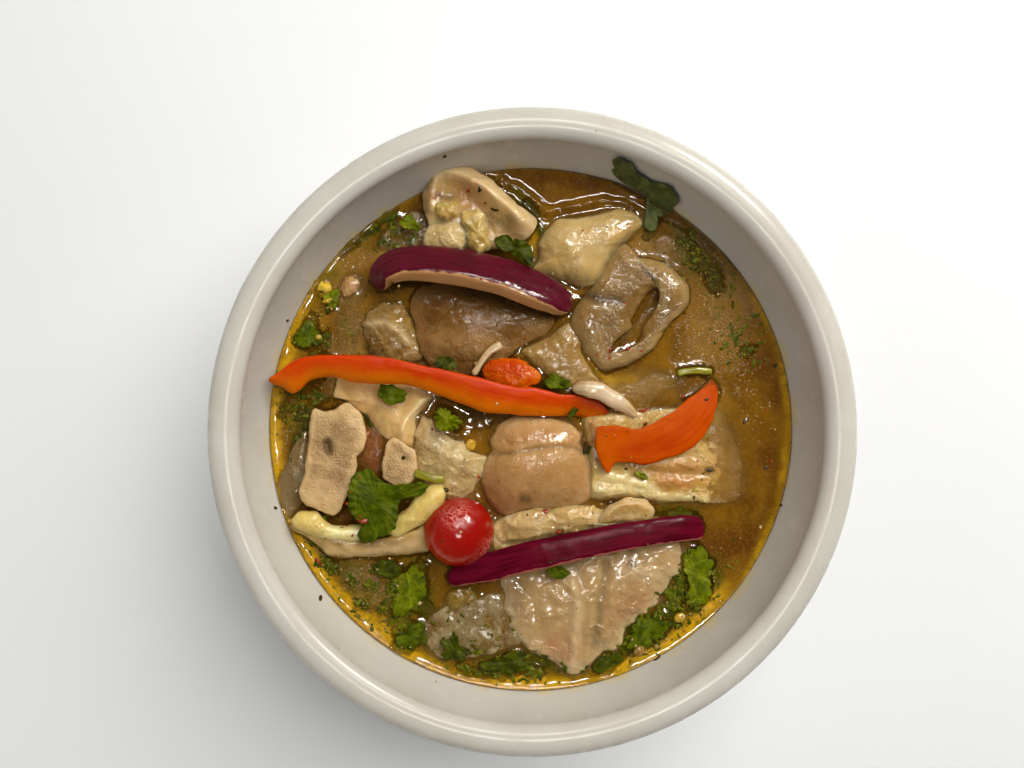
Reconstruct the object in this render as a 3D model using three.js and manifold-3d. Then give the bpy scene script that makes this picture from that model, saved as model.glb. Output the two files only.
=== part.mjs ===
// Bowl of cow foot souse: a round off-white bowl of brown broth that holds boiled cow's foot,
// two bones, red onion, sweet pepper, a cherry tomato, carrot and fresh herbs.
// Millimetres, +Z up, +X to the right and +Y to the back, the origin under the middle of the foot.

import * as THREE from 'three';
import { mergeVertices } from 'three/addons/utils/BufferGeometryUtils.js';
import Module from 'manifold-3d';

const wasm = await Module();
wasm.setup();

// Driving dimensions of the bowl
const HEIGHT = 70;
const RIM_RADIUS = 96.2;
const LIP_WIDTH = 9.6;
const LIP_RISE = 3.5;
const WALL = 4.6;
const FLOOR = 8.2;
const FOOT_RADIUS = 43;
const FOOT_WIDTH = 5;
const BELLY = 1.4;
const SHOULDER = 3;
const TURNS = 40;

// The broth and the room kept between neighbours
const BROTH_LEVEL = 52;
const GAP = 0.3;
const GROWTH = 1.25 * GAP;
const LIFT = 30;

// Every outline is drawn on the level of the broth as one eye above the bowl sees it, and
// a thing that lies higher is drawn in towards the point under the eye
const EYE = new THREE.Vector3(-3, 14, 303);

function seen([x, y], z) {
  const share = (EYE.z - z) / (EYE.z - BROTH_LEVEL);
  return new THREE.Vector3(EYE.x + (x - EYE.x) * share, EYE.y + (y - EYE.y) * share, z);
}

// The inside of the bowl, a superellipse from the lip's inner edge down to the middle of the floor
const INNER_RADIUS = RIM_RADIUS - LIP_WIDTH;
const INNER_TOP = HEIGHT - LIP_RISE;
const INNER_DEPTH = INNER_TOP - FLOOR;

function innerPoint(step) {
  const angle = step * Math.PI / 2;
  return new THREE.Vector2(
    INNER_RADIUS * Math.cos(angle) ** (2 / SHOULDER),
    INNER_TOP - INNER_DEPTH * Math.sin(angle) ** (2 / BELLY),
  );
}

function innerWall(offset, steps = 7) {
  const points = [];
  for (let i = 0; i < steps; i += 1) {
    const here = innerPoint(i / steps);
    const ahead = innerPoint((i + 0.1) / steps);
    const along = ahead.sub(here).normalize();
    points.push(new THREE.Vector2(here.x - along.y * offset, here.y + along.x * offset));
  }
  points.push(new THREE.Vector2(0, FLOOR - offset));
  return points;
}

function wallHeight(radius) {
  const share = Math.min(radius / INNER_RADIUS, 1);
  return INNER_TOP - INNER_DEPTH * (1 - share ** SHOULDER) ** (1 / BELLY);
}

function lathe(profile) {
  const turned = new THREE.LatheGeometry(profile, TURNS);
  turned.rotateX(Math.PI / 2);
  return turned;
}

// Any closed mesh as a solid, and back, and one shape with the other cut out of it
function toSolid(geometry) {
  const bare = geometry.clone();
  bare.deleteAttribute('normal');
  bare.deleteAttribute('uv');
  const merged = mergeVertices(bare, 1e-4);
  const mesh = new wasm.Mesh({
    numProp: 3,
    vertProperties: new Float32Array(merged.getAttribute('position').array),
    triVerts: new Uint32Array(merged.index.array),
  });
  mesh.merge();
  return new wasm.Manifold(mesh);
}

function toGeometry(solid) {
  const mesh = solid.getMesh();
  const geometry = new THREE.BufferGeometry();
  geometry.setAttribute('position', new THREE.BufferAttribute(new Float32Array(mesh.vertProperties), 3));
  geometry.setIndex(new THREE.BufferAttribute(new Uint32Array(mesh.triVerts), 1));
  geometry.computeVertexNormals();
  return geometry;
}

function pierced(geometry, hole) {
  return toGeometry(toSolid(geometry).subtract(toSolid(hole)));
}

function largestBody(solid) {
  return solid.decompose().reduce((best, body) => (body.volume() > best.volume() ? body : best));
}

// The value at t, from 0 to 1, along a list of evenly spread ones
function along(values, t) {
  const spot = t * (values.length - 1);
  const first = Math.min(Math.floor(spot + 1e-6), values.length - 2);
  return THREE.MathUtils.lerp(values[first], values[first + 1], spot - first);
}

// A ball whose points are moved: turn runs from 0 to 1 round it, and rise from -1 at its lower pole
// to 1 at its upper one, through the rises that are given at even steps
function ball(sides, rises, place) {
  const sphere = new THREE.SphereGeometry(1, sides, rises.length - 1);
  sphere.rotateX(Math.PI / 2);
  sphere.deleteAttribute('normal');
  sphere.deleteAttribute('uv');
  const shape = mergeVertices(sphere, 1e-4);
  const points = shape.getAttribute('position');
  for (let i = 0; i < points.count; i += 1) {
    const turn = (Math.atan2(points.getY(i), points.getX(i)) / (2 * Math.PI) + 1) % 1;
    const climb = Math.asin(THREE.MathUtils.clamp(points.getZ(i), -1, 1)) / Math.PI + 0.5;
    const { x, y, z } = place(turn, along(rises, THREE.MathUtils.clamp(climb, 0, 1)));
    points.setXYZ(i, x, y, z);
  }
  shape.computeVertexNormals();
  return shape;
}

// The middle of an outline, and the outline itself as a closed curve that runs anticlockwise
function middleOf(outline) {
  let [area, x, y] = [0, 0, 0];
  outline.forEach(([ax, ay], i) => {
    const [bx, by] = outline[(i + 1) % outline.length];
    const cross = ax * by - bx * ay;
    area += cross / 2;
    x += (ax + bx) * cross / 6;
    y += (ay + by) * cross / 6;
  });
  return { area, middle: [x / area, y / area] };
}

function outlineCurve(outline) {
  const ordered = middleOf(outline).area > 0 ? outline : [...outline].reverse();
  const points = ordered.map(([x, y]) => new THREE.Vector3(x, y, 0));
  return new THREE.CatmullRomCurve3(points, true, 'centripetal');
}

// The height that swells add at a point: each is [x, y, height, reach]
function swelling(swells, x, y) {
  return swells.reduce((sum, [sx, sy, height, reach]) => {
    const far = Math.hypot(x - sx, y - sy) / reach;
    return sum + height * Math.exp(-far * far);
  }, 0);
}

// The rings of a lump from its lower pole to its upper one, and those of a small or low lump
const LUMP_RISES = [-1, -0.5, 0, 0.33, 0.67, 1];
const SMALL_RISES = [-1, -0.5, 0, 0.5, 1];

// A soft lump: its outline is widest at the level, with a crown above and a belly below, and a
// small round gives it steep sides and a flat top
function lump({
  outline, level, crown, depth,
  lean = [0, 0], swells = [], round = 0.6, sides = 20, rises = LUMP_RISES,
}) {
  const curve = outlineCurve(outline);
  const { middle: [mx, my] } = middleOf(outline);
  return ball(sides, rises, (turn, rise) => {
    const angle = rise * Math.PI / 2;
    const spread = Math.cos(angle) ** round;
    const edge = curve.getPointAt(turn);
    const x = mx + (edge.x - mx) * spread;
    const y = my + (edge.y - my) * spread;
    const share = Math.abs(Math.sin(angle)) ** round;
    const slope = lean[0] * (x - mx) + lean[1] * (y - my);
    const top = (crown + swelling(swells, x, y)) * share;
    return seen([x, y], level + slope + (rise > 0 ? top : -depth * share));
  });
}

// The rises of a strip: even along it, with one more ring close to each end to keep it blunt
function stripRises(bands) {
  const even = Array.from({ length: bands - 1 }, (_, i) => 2 * (i + 1) / bands - 1);
  return [-1, -0.965, ...even, 0.965, 1];
}

// A strip along a path of [x, y, z] points, with its width, thickness and roll in degrees along it
function strip({ path, width, thick, roll = [0, 0], blunt = 0.1, square = 0.7, sides = 8, bands = 10 }) {
  const points = path.map(([x, y, z]) => seen([x, y], z));
  const curve = new THREE.CatmullRomCurve3(points, false, 'centripetal');
  const up = new THREE.Vector3(0, 0, 1);
  return ball(sides, stripRises(bands), (turn, rise) => {
    const t = (rise + 1) / 2;
    const ahead = curve.getTangentAt(t);
    const side = up.clone().cross(ahead).normalize();
    side.applyAxisAngle(ahead, THREE.MathUtils.degToRad(along(roll, t)));
    const over = ahead.clone().cross(side);
    const fat = Math.cos(rise * Math.PI / 2) ** blunt;
    const [c, s] = [Math.cos(turn * 2 * Math.PI), Math.sin(turn * 2 * Math.PI)];
    const reach = Math.sign(c) * Math.abs(c) ** square * along(width, t) / 2;
    const lift = Math.sign(s) * Math.abs(s) ** square * along(thick, t) / 2;
    return curve.getPointAt(t).addScaledVector(side, reach * fat).addScaledVector(over, lift * fat);
  });
}

// The rings of a leaf's lower and upper face, split alike, and the face that a ring is on
const LEAF_RISES = [-1, -0.45, 0, 0.45, 1];

function faceOf(rise) {
  return Math.sign(Math.round(rise * 100));
}

// A thin wavy leaf, or a part of one, at a level with a lean; ripple is the height of its waves
function leaf({ outline, level, lean = [0, 0], ripple = 0.6, thick = 0.9, swells = [], sides = 18 }) {
  const curve = outlineCurve(outline);
  const { middle: [mx, my] } = middleOf(outline);
  return ball(sides, LEAF_RISES, (turn, rise) => {
    const spread = 1 - Math.abs(rise);
    const edge = curve.getPointAt(turn);
    const x = mx + (edge.x - mx) * spread;
    const y = my + (edge.y - my) * spread;
    const wave = ripple * Math.sin(6 * Math.PI * turn) * spread;
    const slope = lean[0] * (x - mx) + lean[1] * (y - my);
    const face = faceOf(rise) * thick / 2;
    return seen([x, y], level + slope + wave + swelling(swells, x, y) + face);
  });
}

// A leaf that lies against the bowl's wall where its outline passes beyond the broth: it turns
// from level to the slope of the wall between the two radii of the bend
const BEND = [76, 83];
const WALL_LEAN = 0.72;
const SETTLING_STEPS = 12;

function wallLeaf({ outline, thick = 0.9, rest = 1.3, sides = 18 }) {
  const curve = outlineCurve(outline);
  const { middle: [mx, my] } = middleOf(outline);
  return ball(sides, LEAF_RISES, (turn, rise) => {
    const spread = 1 - Math.abs(rise);
    const edge = curve.getPointAt(turn);
    const spot = [mx + (edge.x - mx) * spread, my + (edge.y - my) * spread];
    let point = seen(spot, BROTH_LEVEL);
    for (let i = 0; i < SETTLING_STEPS; i += 1) {
      const radius = Math.hypot(point.x, point.y);
      point = seen(spot, Math.max(BROTH_LEVEL, (point.z + wallHeight(radius)) / 2));
    }
    const radius = Math.hypot(point.x, point.y);
    const steep = THREE.MathUtils.smoothstep(radius, ...BEND);
    const inward = new THREE.Vector3(-point.x, -point.y, 0).multiplyScalar(steep / radius);
    inward.z = 1 - WALL_LEAN * steep;
    const face = faceOf(rise) * thick / 2;
    return point.addScaledVector(inward.normalize(), rest + face);
  });
}

// A small scrap that is fused to the broth's surface and dips a little into it
const SCRAP_DIP = 0.1;

function scrap([x, y], across, high) {
  const shape = new THREE.SphereGeometry(1, 6, 4);
  shape.rotateX(Math.PI / 2);
  shape.scale(across / 2, across / 2, high);
  shape.translate(x, y, BROTH_LEVEL - SCRAP_DIP * high);
  return shape;
}

// A copy with every point moved out a little, to cut a neighbour's seat; a lifted one also takes
// away whatever lies above its upward faces
const UPWARD = 0.35;

function grown(geometry, lift = 0) {
  const copy = geometry.clone();
  const points = copy.getAttribute('position');
  const normals = copy.getAttribute('normal');
  for (let i = 0; i < points.count; i += 1) {
    const rise = normals.getZ(i) > UPWARD ? lift : 0;
    points.setXYZ(
      i,
      points.getX(i) + normals.getX(i) * GROWTH,
      points.getY(i) + normals.getY(i) * GROWTH,
      points.getZ(i) + normals.getZ(i) * GROWTH + rise,
    );
  }
  return toSolid(copy);
}

// The bowl, with a rounded lip whose section is drawn in steps of an angle, and a ring for a foot
const LIP_STEP = 30;

function bowlShape() {
  const lipMiddle = RIM_RADIUS - LIP_WIDTH / 2;
  const lip = [];
  for (let degrees = -LIP_STEP; degrees < 180; degrees += LIP_STEP) {
    const angle = THREE.MathUtils.degToRad(degrees);
    lip.push(new THREE.Vector2(
      lipMiddle + Math.cos(angle) * LIP_WIDTH / 2,
      INNER_TOP + Math.sin(angle) * LIP_RISE,
    ));
  }
  const inside = innerWall(0);
  const outside = innerWall(WALL).slice(1).filter((point) => point.x > FOOT_RADIUS + 2).reverse();
  const under = FLOOR - WALL;
  const foot = [
    new THREE.Vector2(0, under),
    new THREE.Vector2(FOOT_RADIUS - FOOT_WIDTH - 1, under),
    new THREE.Vector2(FOOT_RADIUS - FOOT_WIDTH, 0),
    new THREE.Vector2(FOOT_RADIUS, 0),
    new THREE.Vector2(FOOT_RADIUS + 1, under + 0.6),
  ];
  return lathe([...foot, ...outside, ...lip, ...inside]);
}

// The room inside the bowl up to a height, clear of its wall by the gap
function roomShape(top) {
  const wall = innerWall(-GAP);
  const below = wall.findIndex((point) => point.y < top);
  const edge = new THREE.Vector2(wall[0].x, top);
  if (below > 0) {
    const share = (wall[below - 1].y - top) / (wall[below - 1].y - wall[below].y);
    edge.lerpVectors(wall[below - 1], wall[below], share);
  }
  return lathe([...wall.slice(below).reverse(), edge, new THREE.Vector2(0, top)]);
}

// The pieces of food, from the topmost down, each cut by those before it
const TOMATO_RADIUS = 10.9;

function tomatoShape() {
  const shape = new THREE.SphereGeometry(TOMATO_RADIUS, 16, 9);
  shape.rotateX(Math.PI / 2);
  shape.scale(1, 0.98, 0.96);
  const { x, y, z } = seen([-22.5, -32.3], 54.6);
  shape.translate(x, y, z);
  return shape;
}

// The level of a leaf that floats on the broth
const FLOATING = BROTH_LEVEL + 1.2;

const HERB = 0x2f4d0c;
const BRIGHT_HERB = 0x4d6a10;
const DARK_HERB = 0x28380f;
const SKIN = 0xa98c62;
const FAT = 0xcdb87c;
const GREY = 0x83715a;
const BONE = 0xb0936a;
const PEPPER = 0xc8460a;
const ONION = 0x5c1230;

const FOOD = [
  ['cherry_tomato', 0xa01508, tomatoShape()],
  ['leaf_flat', HERB, leaf({
    outline: [[-56, -14.5], [-52.5, -12.5], [-49, -14.5], [-45, -16.8], [-39, -17], [-33.5, -17.8],
      [-36, -20.5], [-41, -22], [-42.3, -26], [-43, -31], [-48, -34], [-52.5, -35.3], [-54.5, -31],
      [-57.3, -26], [-57, -21], [-58, -18]],
    level: 60, lean: [0, 0.07], sides: 19,
  })],
  ['leaf_round', HERB, leaf({
    outline: [[-49, 12], [-48, 13.8], [-43, 13.8], [-38.5, 12.3], [-39.5, 9], [-43, 6.8], [-46.5, 9]],
    level: 58.2, lean: [0, 0.1], sides: 9,
  })],
  ['leaf_frilled', BRIGHT_HERB, leaf({
    outline: [[-31, 4.5], [-29, 7], [-24.5, 6], [-21.3, 2.5], [-23, -0.5], [-26, -1.5], [-29.5, 0]],
    level: 58, ripple: 1, swells: [[-26, 3, 1.5, 3]], sides: 11,
  })],
  ['stem_left', 0x6b7d1a, strip({
    path: [[-36.5, -13.8, 57.6], [-32, -15.2, 58.2], [-27, -16.2, 57.6]],
    width: [2.6, 2.6], thick: [2, 2], bands: 5,
  })],
  ['leaf_tucked', DARK_HERB, leaf({
    outline: [[-30.5, 20], [-29, 22.7], [-26, 23.3], [-23, 20.8], [-22, 19.2], [-26, 18.5]],
    level: 60, lean: [0, -0.1], ripple: 0.3, sides: 9,
  })],
  ['pepper_strip_long', PEPPER, strip({
    path: [[-81.6, 15.6, 58], [-76, 15.9, 59], [-69, 19.3, 60.5], [-60, 20, 61], [-50, 19, 61],
      [-40, 17.8, 61], [-30, 15, 61], [-20, 12, 60.5], [-10, 9.7, 60], [0, 9, 58.5], [10, 7.7, 56.5],
      [18, 6.5, 53], [24, 4.5, 50.5]],
    width: [5, 9, 7.8, 8.6, 8.8, 9.2, 8.8, 8.4, 7.4, 4], thick: [2.4, 3.6, 3.6, 3.6, 3.4, 2.4],
    roll: [-6, -18, -20, -16, -10, 0], square: 0.6, bands: 15,
  })],
  ['red_onion_upper', ONION, strip({
    path: [[-47.2, 43.6, 57], [-46.4, 49.3, 59.5], [-42, 51.8, 60.5], [-35, 52.5, 61], [-26, 51.8, 61],
      [-17, 50.2, 61], [-8, 47.9, 60.6], [0, 44.8, 60], [7.5, 41.3, 59], [12.6, 37.3, 57.5]],
    width: [6, 11, 12, 12.2, 12.4, 12.2, 11.6, 7], thick: [3.5, 5, 5.4, 5.4, 5.2, 4],
    roll: [-24, -34, -38, -38, -36, -30], square: 0.62, bands: 14,
  })],
  ['red_onion_lower', 0x4a0a26, strip({
    path: [[-26, -47.3, 55], [-16, -44.4, 57], [-5, -41.4, 58.4], [5, -39, 59], [15, -36.8, 59],
      [25, -34.8, 58.6], [35, -33, 57.6], [45, -31.4, 56], [54.6, -30.9, 53.6]],
    width: [5, 8.6, 8.6, 8.4, 8.2, 8, 7.2], thick: [3, 4.2, 4.4, 4.2, 4, 3],
    roll: [-8, -14, -16, -16, -12, -6], square: 0.55, bands: 12,
  })],
  ['pepper_strip_short', 0xc23f06, strip({
    path: [[20.8, -5.6, 57.6], [26, -5, 58], [33, -4.7, 57.8], [41, -3, 57], [48, 1.4, 55.6],
      [53.6, 6.6, 53.6], [57.4, 11.6, 51.6], [59.2, 16, 50]],
    width: [11, 10.8, 10.8, 11.2, 10.6, 9, 6.4, 3], thick: [3, 3.6, 3.6, 3.4, 3, 2],
    roll: [16, 20, 20, 16, 8], square: 0.6, bands: 10,
  })],
  ['onion_sliver_pale', 0xc9a58c, strip({
    path: [[-9, 26.5, 58.4], [-12, 25, 58.6], [-15, 21.8, 58.6], [-18, 17, 58]],
    width: [2.8, 2.2, 2, 2], thick: [2, 1.6, 1.4], bands: 6, sides: 6,
  })],
  ['onion_strip_white', 0xc9b48a, strip({
    path: [[12.8, 12, 55], [18, 13, 56], [24, 11.3, 56], [29, 8.5, 55], [33, 5.6, 54]],
    width: [2.5, 4.4, 4.6, 4.6, 3.6], thick: [2, 2.8, 2.8, 2.4], bands: 8,
  })],
  ['carrot_slice', 0xc4530c, lump({
    outline: [[-15, 17.5], [-13.5, 21], [-9, 22.2], [-4, 21.8], [0, 20.2], [3, 17.6], [3.2, 14.8],
      [-1, 12.6], [-7, 12], [-12.5, 13.5]],
    level: 55.6, crown: 3, depth: 3.5, round: 0.45, sides: 14, rises: SMALL_RISES,
  })],
  ['leaf_by_carrot', HERB, leaf({
    outline: [[4, 15], [6, 17.6], [9.5, 16.8], [13, 15.6], [12, 13], [8, 12.4], [5, 13.5]],
    level: 56.6, sides: 9,
  })],
  ['leaf_by_cup', DARK_HERB, leaf({
    outline: [[-9, 61.8], [-5, 60.7], [0, 57.8], [2.5, 54], [1.3, 51], [-4, 53.3], [-9, 56.2],
      [-11.4, 59]],
    level: 60.6, ripple: 0.8, lean: [0, 0.08], sides: 11,
  })],
  ['leaf_behind', BRIGHT_HERB, leaf({
    outline: [[-42.3, 65.5], [-40, 67.2], [-37, 67.8], [-35, 65], [-34.6, 62.6], [-38, 62.3],
      [-40.6, 63.8]],
    level: 56, sides: 9,
  })],
  ['leaf_on_slab', HERB, leaf({
    outline: [[4.4, -44], [8, -42.8], [13, -44.6], [11, -46.8], [8, -48], [5.8, -46]],
    level: 57.4, lean: [0, 0.05], sides: 9,
  })],
  ['leaf_sprig', HERB, leaf({
    outline: [[-24.6, -63.6], [-22, -66.4], [-19.6, -69], [-18, -72.4], [-22, -74], [-26.4, -73],
      [-29, -70], [-28, -66.4]],
    level: 54, ripple: 0.5, sides: 12,
  })],
  ['skin_knob', 0xa8876a, lump({
    outline: [[25, -26.2], [27.3, -23.4], [31, -21.9], [35, -22], [38, -24], [38.4, -26.2], [36, -28.2],
      [30, -29.6], [26, -28.8]],
    level: 53.6, crown: 3.6, depth: 6, sides: 12, rises: SMALL_RISES,
  })],
  ['twin_joint', 0x9b7a55, lump({
    outline: [[-5, 4.2], [2, 4.8], [10, 3.4], [15, 0], [15.6, -4], [18.6, -9], [19.3, -15], [17, -21],
      [10, -23.8], [1, -24.7], [-6, -26.6], [-11.5, -25.5], [-15, -19], [-15.6, -12], [-13, -7.2],
      [-13, -3], [-9.5, 1.8]],
    level: 52.5, crown: 5.8, depth: 12, swells: [[2, -15, 2, 12], [2, -1.5, 1.2, 8], [2, -7.4, -1.2, 4]],
    sides: 22,
  })],
  ['skin_strip', 0xb2986a, lump({
    outline: [[-12, -27], [-11.6, -33], [-10.4, -37.8], [0, -36.6], [10, -34.2], [20, -32],
      [27.6, -30.4], [26, -27], [23, -24], [14, -23.4], [4, -24], [-5, -25]],
    level: 52.5, crown: 2.8, depth: 8, swells: [[0, -28, 1.6, 7], [14, -27, 1.4, 6], [2, -34.6, 1.2, 3]],
    round: 0.5, sides: 20, rises: SMALL_RISES,
  })],
  ['bone_small', BONE, lump({
    outline: [[-44, -2.2], [-41.5, -3.2], [-38, -5.8], [-36.5, -8], [-37.2, -13], [-38.8, -16.6],
      [-43, -17], [-46, -14.6], [-46, -8], [-45, -3.6]],
    level: 54.5, crown: 3.2, depth: 9, round: 0.4, sides: 14,
  })],
  ['bone_large', BONE, lump({
    outline: [[-68, 6.8], [-63, 5.6], [-59.5, 6.2], [-57.5, 8], [-54.5, 4], [-52, -2.3], [-54, -8],
      [-56, -14], [-58, -21.5], [-62.5, -27.3], [-69, -25.5], [-72.8, -19.5], [-71.4, -13.5], [-71, -6],
      [-69.6, 1]],
    level: 55, crown: 4.4, depth: 10, round: 0.42, swells: [[-56, 0, 1, 6]], sides: 20,
  })],
  ['skin_between', 0x7d6a55, lump({
    outline: [[-52.4, -0.6], [-49, 1.4], [-46.6, -1.4], [-46, -6], [-46.4, -13.4], [-48.6, -15.4],
      [-52, -12.4], [-55.4, -11], [-54, -6]],
    level: 52.4, crown: 1.8, depth: 5, sides: 14, rises: SMALL_RISES,
  })],
  ['ridged_skin', 0xb39a76, lump({
    outline: [[-60, 15], [-50, 14.8], [-42, 14.2], [-36, 13], [-31.8, 10.4], [-34, 6.5], [-36.5, 1],
      [-37.5, -4.4], [-42, -3.2], [-47, 0], [-52, 4.6], [-56.5, 9], [-61.5, 10]],
    level: 53, crown: 2.6, depth: 8, swells: [[-35, 9, 2, 3], [-37.5, 4.5, 2, 3], [-40, 0, 2, 3]],
    sides: 19, rises: SMALL_RISES,
  })],
  ['trough_fat_right', 0xc7b06e, strip({
    path: [[-42, -31, 55], [-37.5, -27.3, 56.6], [-33, -22.8, 56.8], [-28.6, -18.4, 55.6]],
    width: [6, 6.6, 6.4, 5], thick: [4, 4.6, 4.4, 4], bands: 6,
  })],
  ['mid_jelly', 0x94805c, lump({
    outline: [[-37, -1], [-35.8, 3.6], [-32, 3.6], [-27, -0.6], [-21, -4], [-14.5, -7.8], [-15.8, -13],
      [-18, -17.2], [-21, -20.6], [-26, -20.5], [-31, -17.4], [-36.8, -13.4], [-36.8, -6]],
    level: 52.5, crown: 3.4, depth: 10, swells: [[-24, -9, 1, 6]], sides: 19,
  })],
  ['trough_fat_left', FAT, lump({
    outline: [[-76, -28.8], [-73.6, -25.6], [-69, -26.8], [-63, -29.3], [-57.5, -31.2], [-57, -34],
      [-62, -35.6], [-68, -34.8], [-73, -32.6]],
    level: 54, crown: 2.8, depth: 5, sides: 14, rises: SMALL_RISES,
  })],
  ['trough_skin', 0xa39066, strip({
    path: [[-75, -31, 53], [-70, -34.4, 53], [-63, -37, 53.4], [-55, -37.2, 54], [-46, -35.6, 54.4],
      [-39, -33.4, 54.6], [-34, -31, 54.4]],
    width: [3.5, 5.6, 6.4, 6.6, 8, 9, 8], thick: [6, 7, 7, 7], bands: 9,
  })],
  ['grey_skin', GREY, lump({
    outline: [[-70.6, 0.6], [-74.6, -5], [-77, -11], [-79.4, -15], [-79.4, -23], [-77.6, -28.4],
      [-72, -24], [-70, -14]],
    level: 52.4, crown: 2.2, depth: 6, sides: 14, rises: SMALL_RISES,
  })],
  ['cup_fat_left', 0xcab682, lump({
    outline: [[-30, 70.6], [-27, 71.4], [-23.5, 70.4], [-23, 67.4], [-26.6, 66.3], [-29, 67.6]],
    level: 57.4, crown: 3, depth: 3, sides: 9, rises: SMALL_RISES,
  })],
  ['cup_fat_right', 0xc8b47a, lump({
    outline: [[-21.5, 66.6], [-17.5, 69.2], [-14.6, 68], [-14.4, 62], [-11.6, 57], [-15, 54.8],
      [-19.4, 57], [-20, 61.5]],
    level: 57, crown: 3, depth: 4, sides: 12, rises: SMALL_RISES,
  })],
  ['cup_jelly', 0xac9a7c, lump({
    outline: [[-31, 64.6], [-26, 66.2], [-21, 65.4], [-19.6, 61], [-21, 56.6], [-28, 56], [-33, 57],
      [-33.6, 61]],
    level: 55, crown: 3.4, depth: 6, sides: 12, rises: SMALL_RISES,
  })],
  ['cup_skin', SKIN, lump({
    outline: [[-32, 74], [-31.2, 79.4], [-28.6, 82.8], [-22, 83], [-15.4, 80.2], [-8.4, 75],
      [-2.6, 69.6], [1.4, 66.4], [1.2, 62.6], [-3.2, 59.2], [-9, 58], [-16, 57], [-25, 58], [-31, 62],
      [-33, 68]],
    level: 54.5, crown: 3, depth: 9, round: 0.5,
    swells: [[-23, 80, 3, 6], [-14, 76.6, 4, 6], [-6, 69.8, 4.4, 6], [-2, 63.6, 2.6, 5],
      [-20, 70, -1.6, 6]],
    sides: 22,
  })],
  ['skin_behind', 0x8f7d5c, lump({
    outline: [[-47, 57], [-46.4, 61], [-42, 64.6], [-37, 68.6], [-32, 67], [-33, 61], [-32.4, 57],
      [-40, 55]],
    level: 52.3, crown: 1, depth: 4, round: 0.45, sides: 14, rises: SMALL_RISES,
  })],
  ['knuckle', 0xb0966a, lump({
    outline: [[2.2, 52.4], [3.6, 58], [6.2, 64], [12, 65.6], [19, 67.8], [25, 70], [31, 69], [34.8, 65],
      [33, 59.6], [31, 52], [27, 46.6], [20, 43.6], [12, 46], [5, 48.6]],
    level: 52.5, crown: 6, depth: 12, sides: 20,
  })],
  ['ring_skin', 0xb09a70, pierced(lump({
    outline: [[13.6, 31], [13.4, 37], [16, 42.6], [22, 46.6], [28.6, 52.4], [35, 53.4], [42, 51.8],
      [47, 48], [49.8, 43], [48.4, 37.8], [44, 33.4], [40.6, 29.4], [38.6, 24.6], [34, 20.4],
      [27, 18.8], [21, 19.2], [17.4, 24]],
    level: 52.5, crown: 3.2, depth: 9, swells: [[45, 44, 1.5, 7], [20, 38, 1, 8]],
    sides: 22, rises: SMALL_RISES,
  }), lump({
    outline: [[40, 43.6], [43.4, 41], [42, 37.6], [37.6, 34.2], [35.6, 30], [33.4, 27], [28, 25.4],
      [26, 27.8], [28.4, 30.8], [32.2, 33], [33.6, 37.4], [36.4, 41.8]],
    level: 52, crown: 12, depth: 16, round: 0.2, sides: 11, rises: SMALL_RISES,
  }))],
  ['pale_fat', 0xb8a06e, lump({
    outline: [[-3, 24.6], [1, 27], [6, 29.6], [12.6, 33.4], [16, 30], [15.8, 24], [19.6, 18.4],
      [22, 14.6], [15, 12.4], [8, 15], [1, 20.6]],
    level: 52.4, crown: 2.6, depth: 8, sides: 17, rises: SMALL_RISES,
  })],
  ['gristle', 0x9b8b70, lump({
    outline: [[-53, 33.6], [-50, 38], [-46, 39.8], [-41, 39.4], [-38, 36], [-36, 30], [-34, 22],
      [-42, 20], [-49, 22], [-52, 28]],
    level: 52.5, crown: 4.6, depth: 9, swells: [[-44, 33, 1.2, 4]], sides: 16, rises: SMALL_RISES,
  })],
  ['brown_pad', 0x84602f, lump({
    outline: [[-38, 38], [-35, 44.4], [-28, 46], [-18, 44.4], [-7, 41.6], [2, 38.4], [7.4, 34.6],
      [5.6, 30.4], [-1, 27], [-8, 22], [-20, 17], [-31, 19], [-35.6, 27], [-36.6, 33]],
    level: 52.5, crown: 3.2, depth: 10, swells: [[-20, 29, 2, 9]], sides: 20,
  })],
  ['pale_block', 0xb79a62, lump({
    outline: [[19.6, 1.6], [30, 4], [44, 6], [56, 3], [61.6, -4], [64.4, -14], [66, -21], [52, -21.6],
      [38, -21.4], [28, -20.6], [19.8, -19.8], [19.4, -9]],
    level: 50.4, crown: 3.6, depth: 8, lean: [-0.085, -0.02], round: 0.42, sides: 20,
  })],
  ['jelly_slab', 0xb29a6e, lump({
    outline: [[-8.6, -45], [-9.8, -50], [-8, -58], [-6, -65.5], [2, -69.8], [8.4, -74.4], [13, -76.2],
      [18, -73.2], [23, -69.4], [27.6, -65.6], [31.4, -60], [38.6, -54.6], [42.6, -48], [47.4, -44.4],
      [46.4, -35.8], [30, -36], [12, -38], [0, -41]],
    level: 52.5, crown: 3, depth: 10, round: 0.45, swells: [[26, -50, 1.2, 12], [4, -60, 0.8, 10]],
    sides: 25,
  })],
  ['sunken_jelly', 0x8c7858, lump({
    outline: [[-32.6, -60], [-27, -56.4], [-18, -53.6], [-9, -52], [-6, -60], [-3, -66.6], [-10, -69.8],
      [-20, -72], [-30, -71], [-33.6, -65]],
    level: 52.3, crown: 0.9, depth: 8, round: 0.45, sides: 16, rises: SMALL_RISES,
  })],
  ['leaf_on_wall', DARK_HERB, wallLeaf({
    outline: [[26, 85.6], [26.6, 81], [31, 77.8], [37, 75.6], [41.4, 71.4], [38, 66], [35, 61.5],
      [39.6, 60.2], [42.4, 66], [46.6, 71], [46, 76], [39, 80], [33, 83], [30.4, 86.6]],
  })],
  ['leaf_bright_right', BRIGHT_HERB, leaf({
    outline: [[47.6, -37], [53, -35.8], [57.6, -41.4], [57.2, -46], [58, -50], [56, -54], [52, -57],
      [48.4, -54.6], [49.6, -49.6], [48, -43.6]],
    level: FLOATING, ripple: 0.4, sides: 14,
  })],
  ['leaf_far_left', HERB, leaf({
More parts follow.
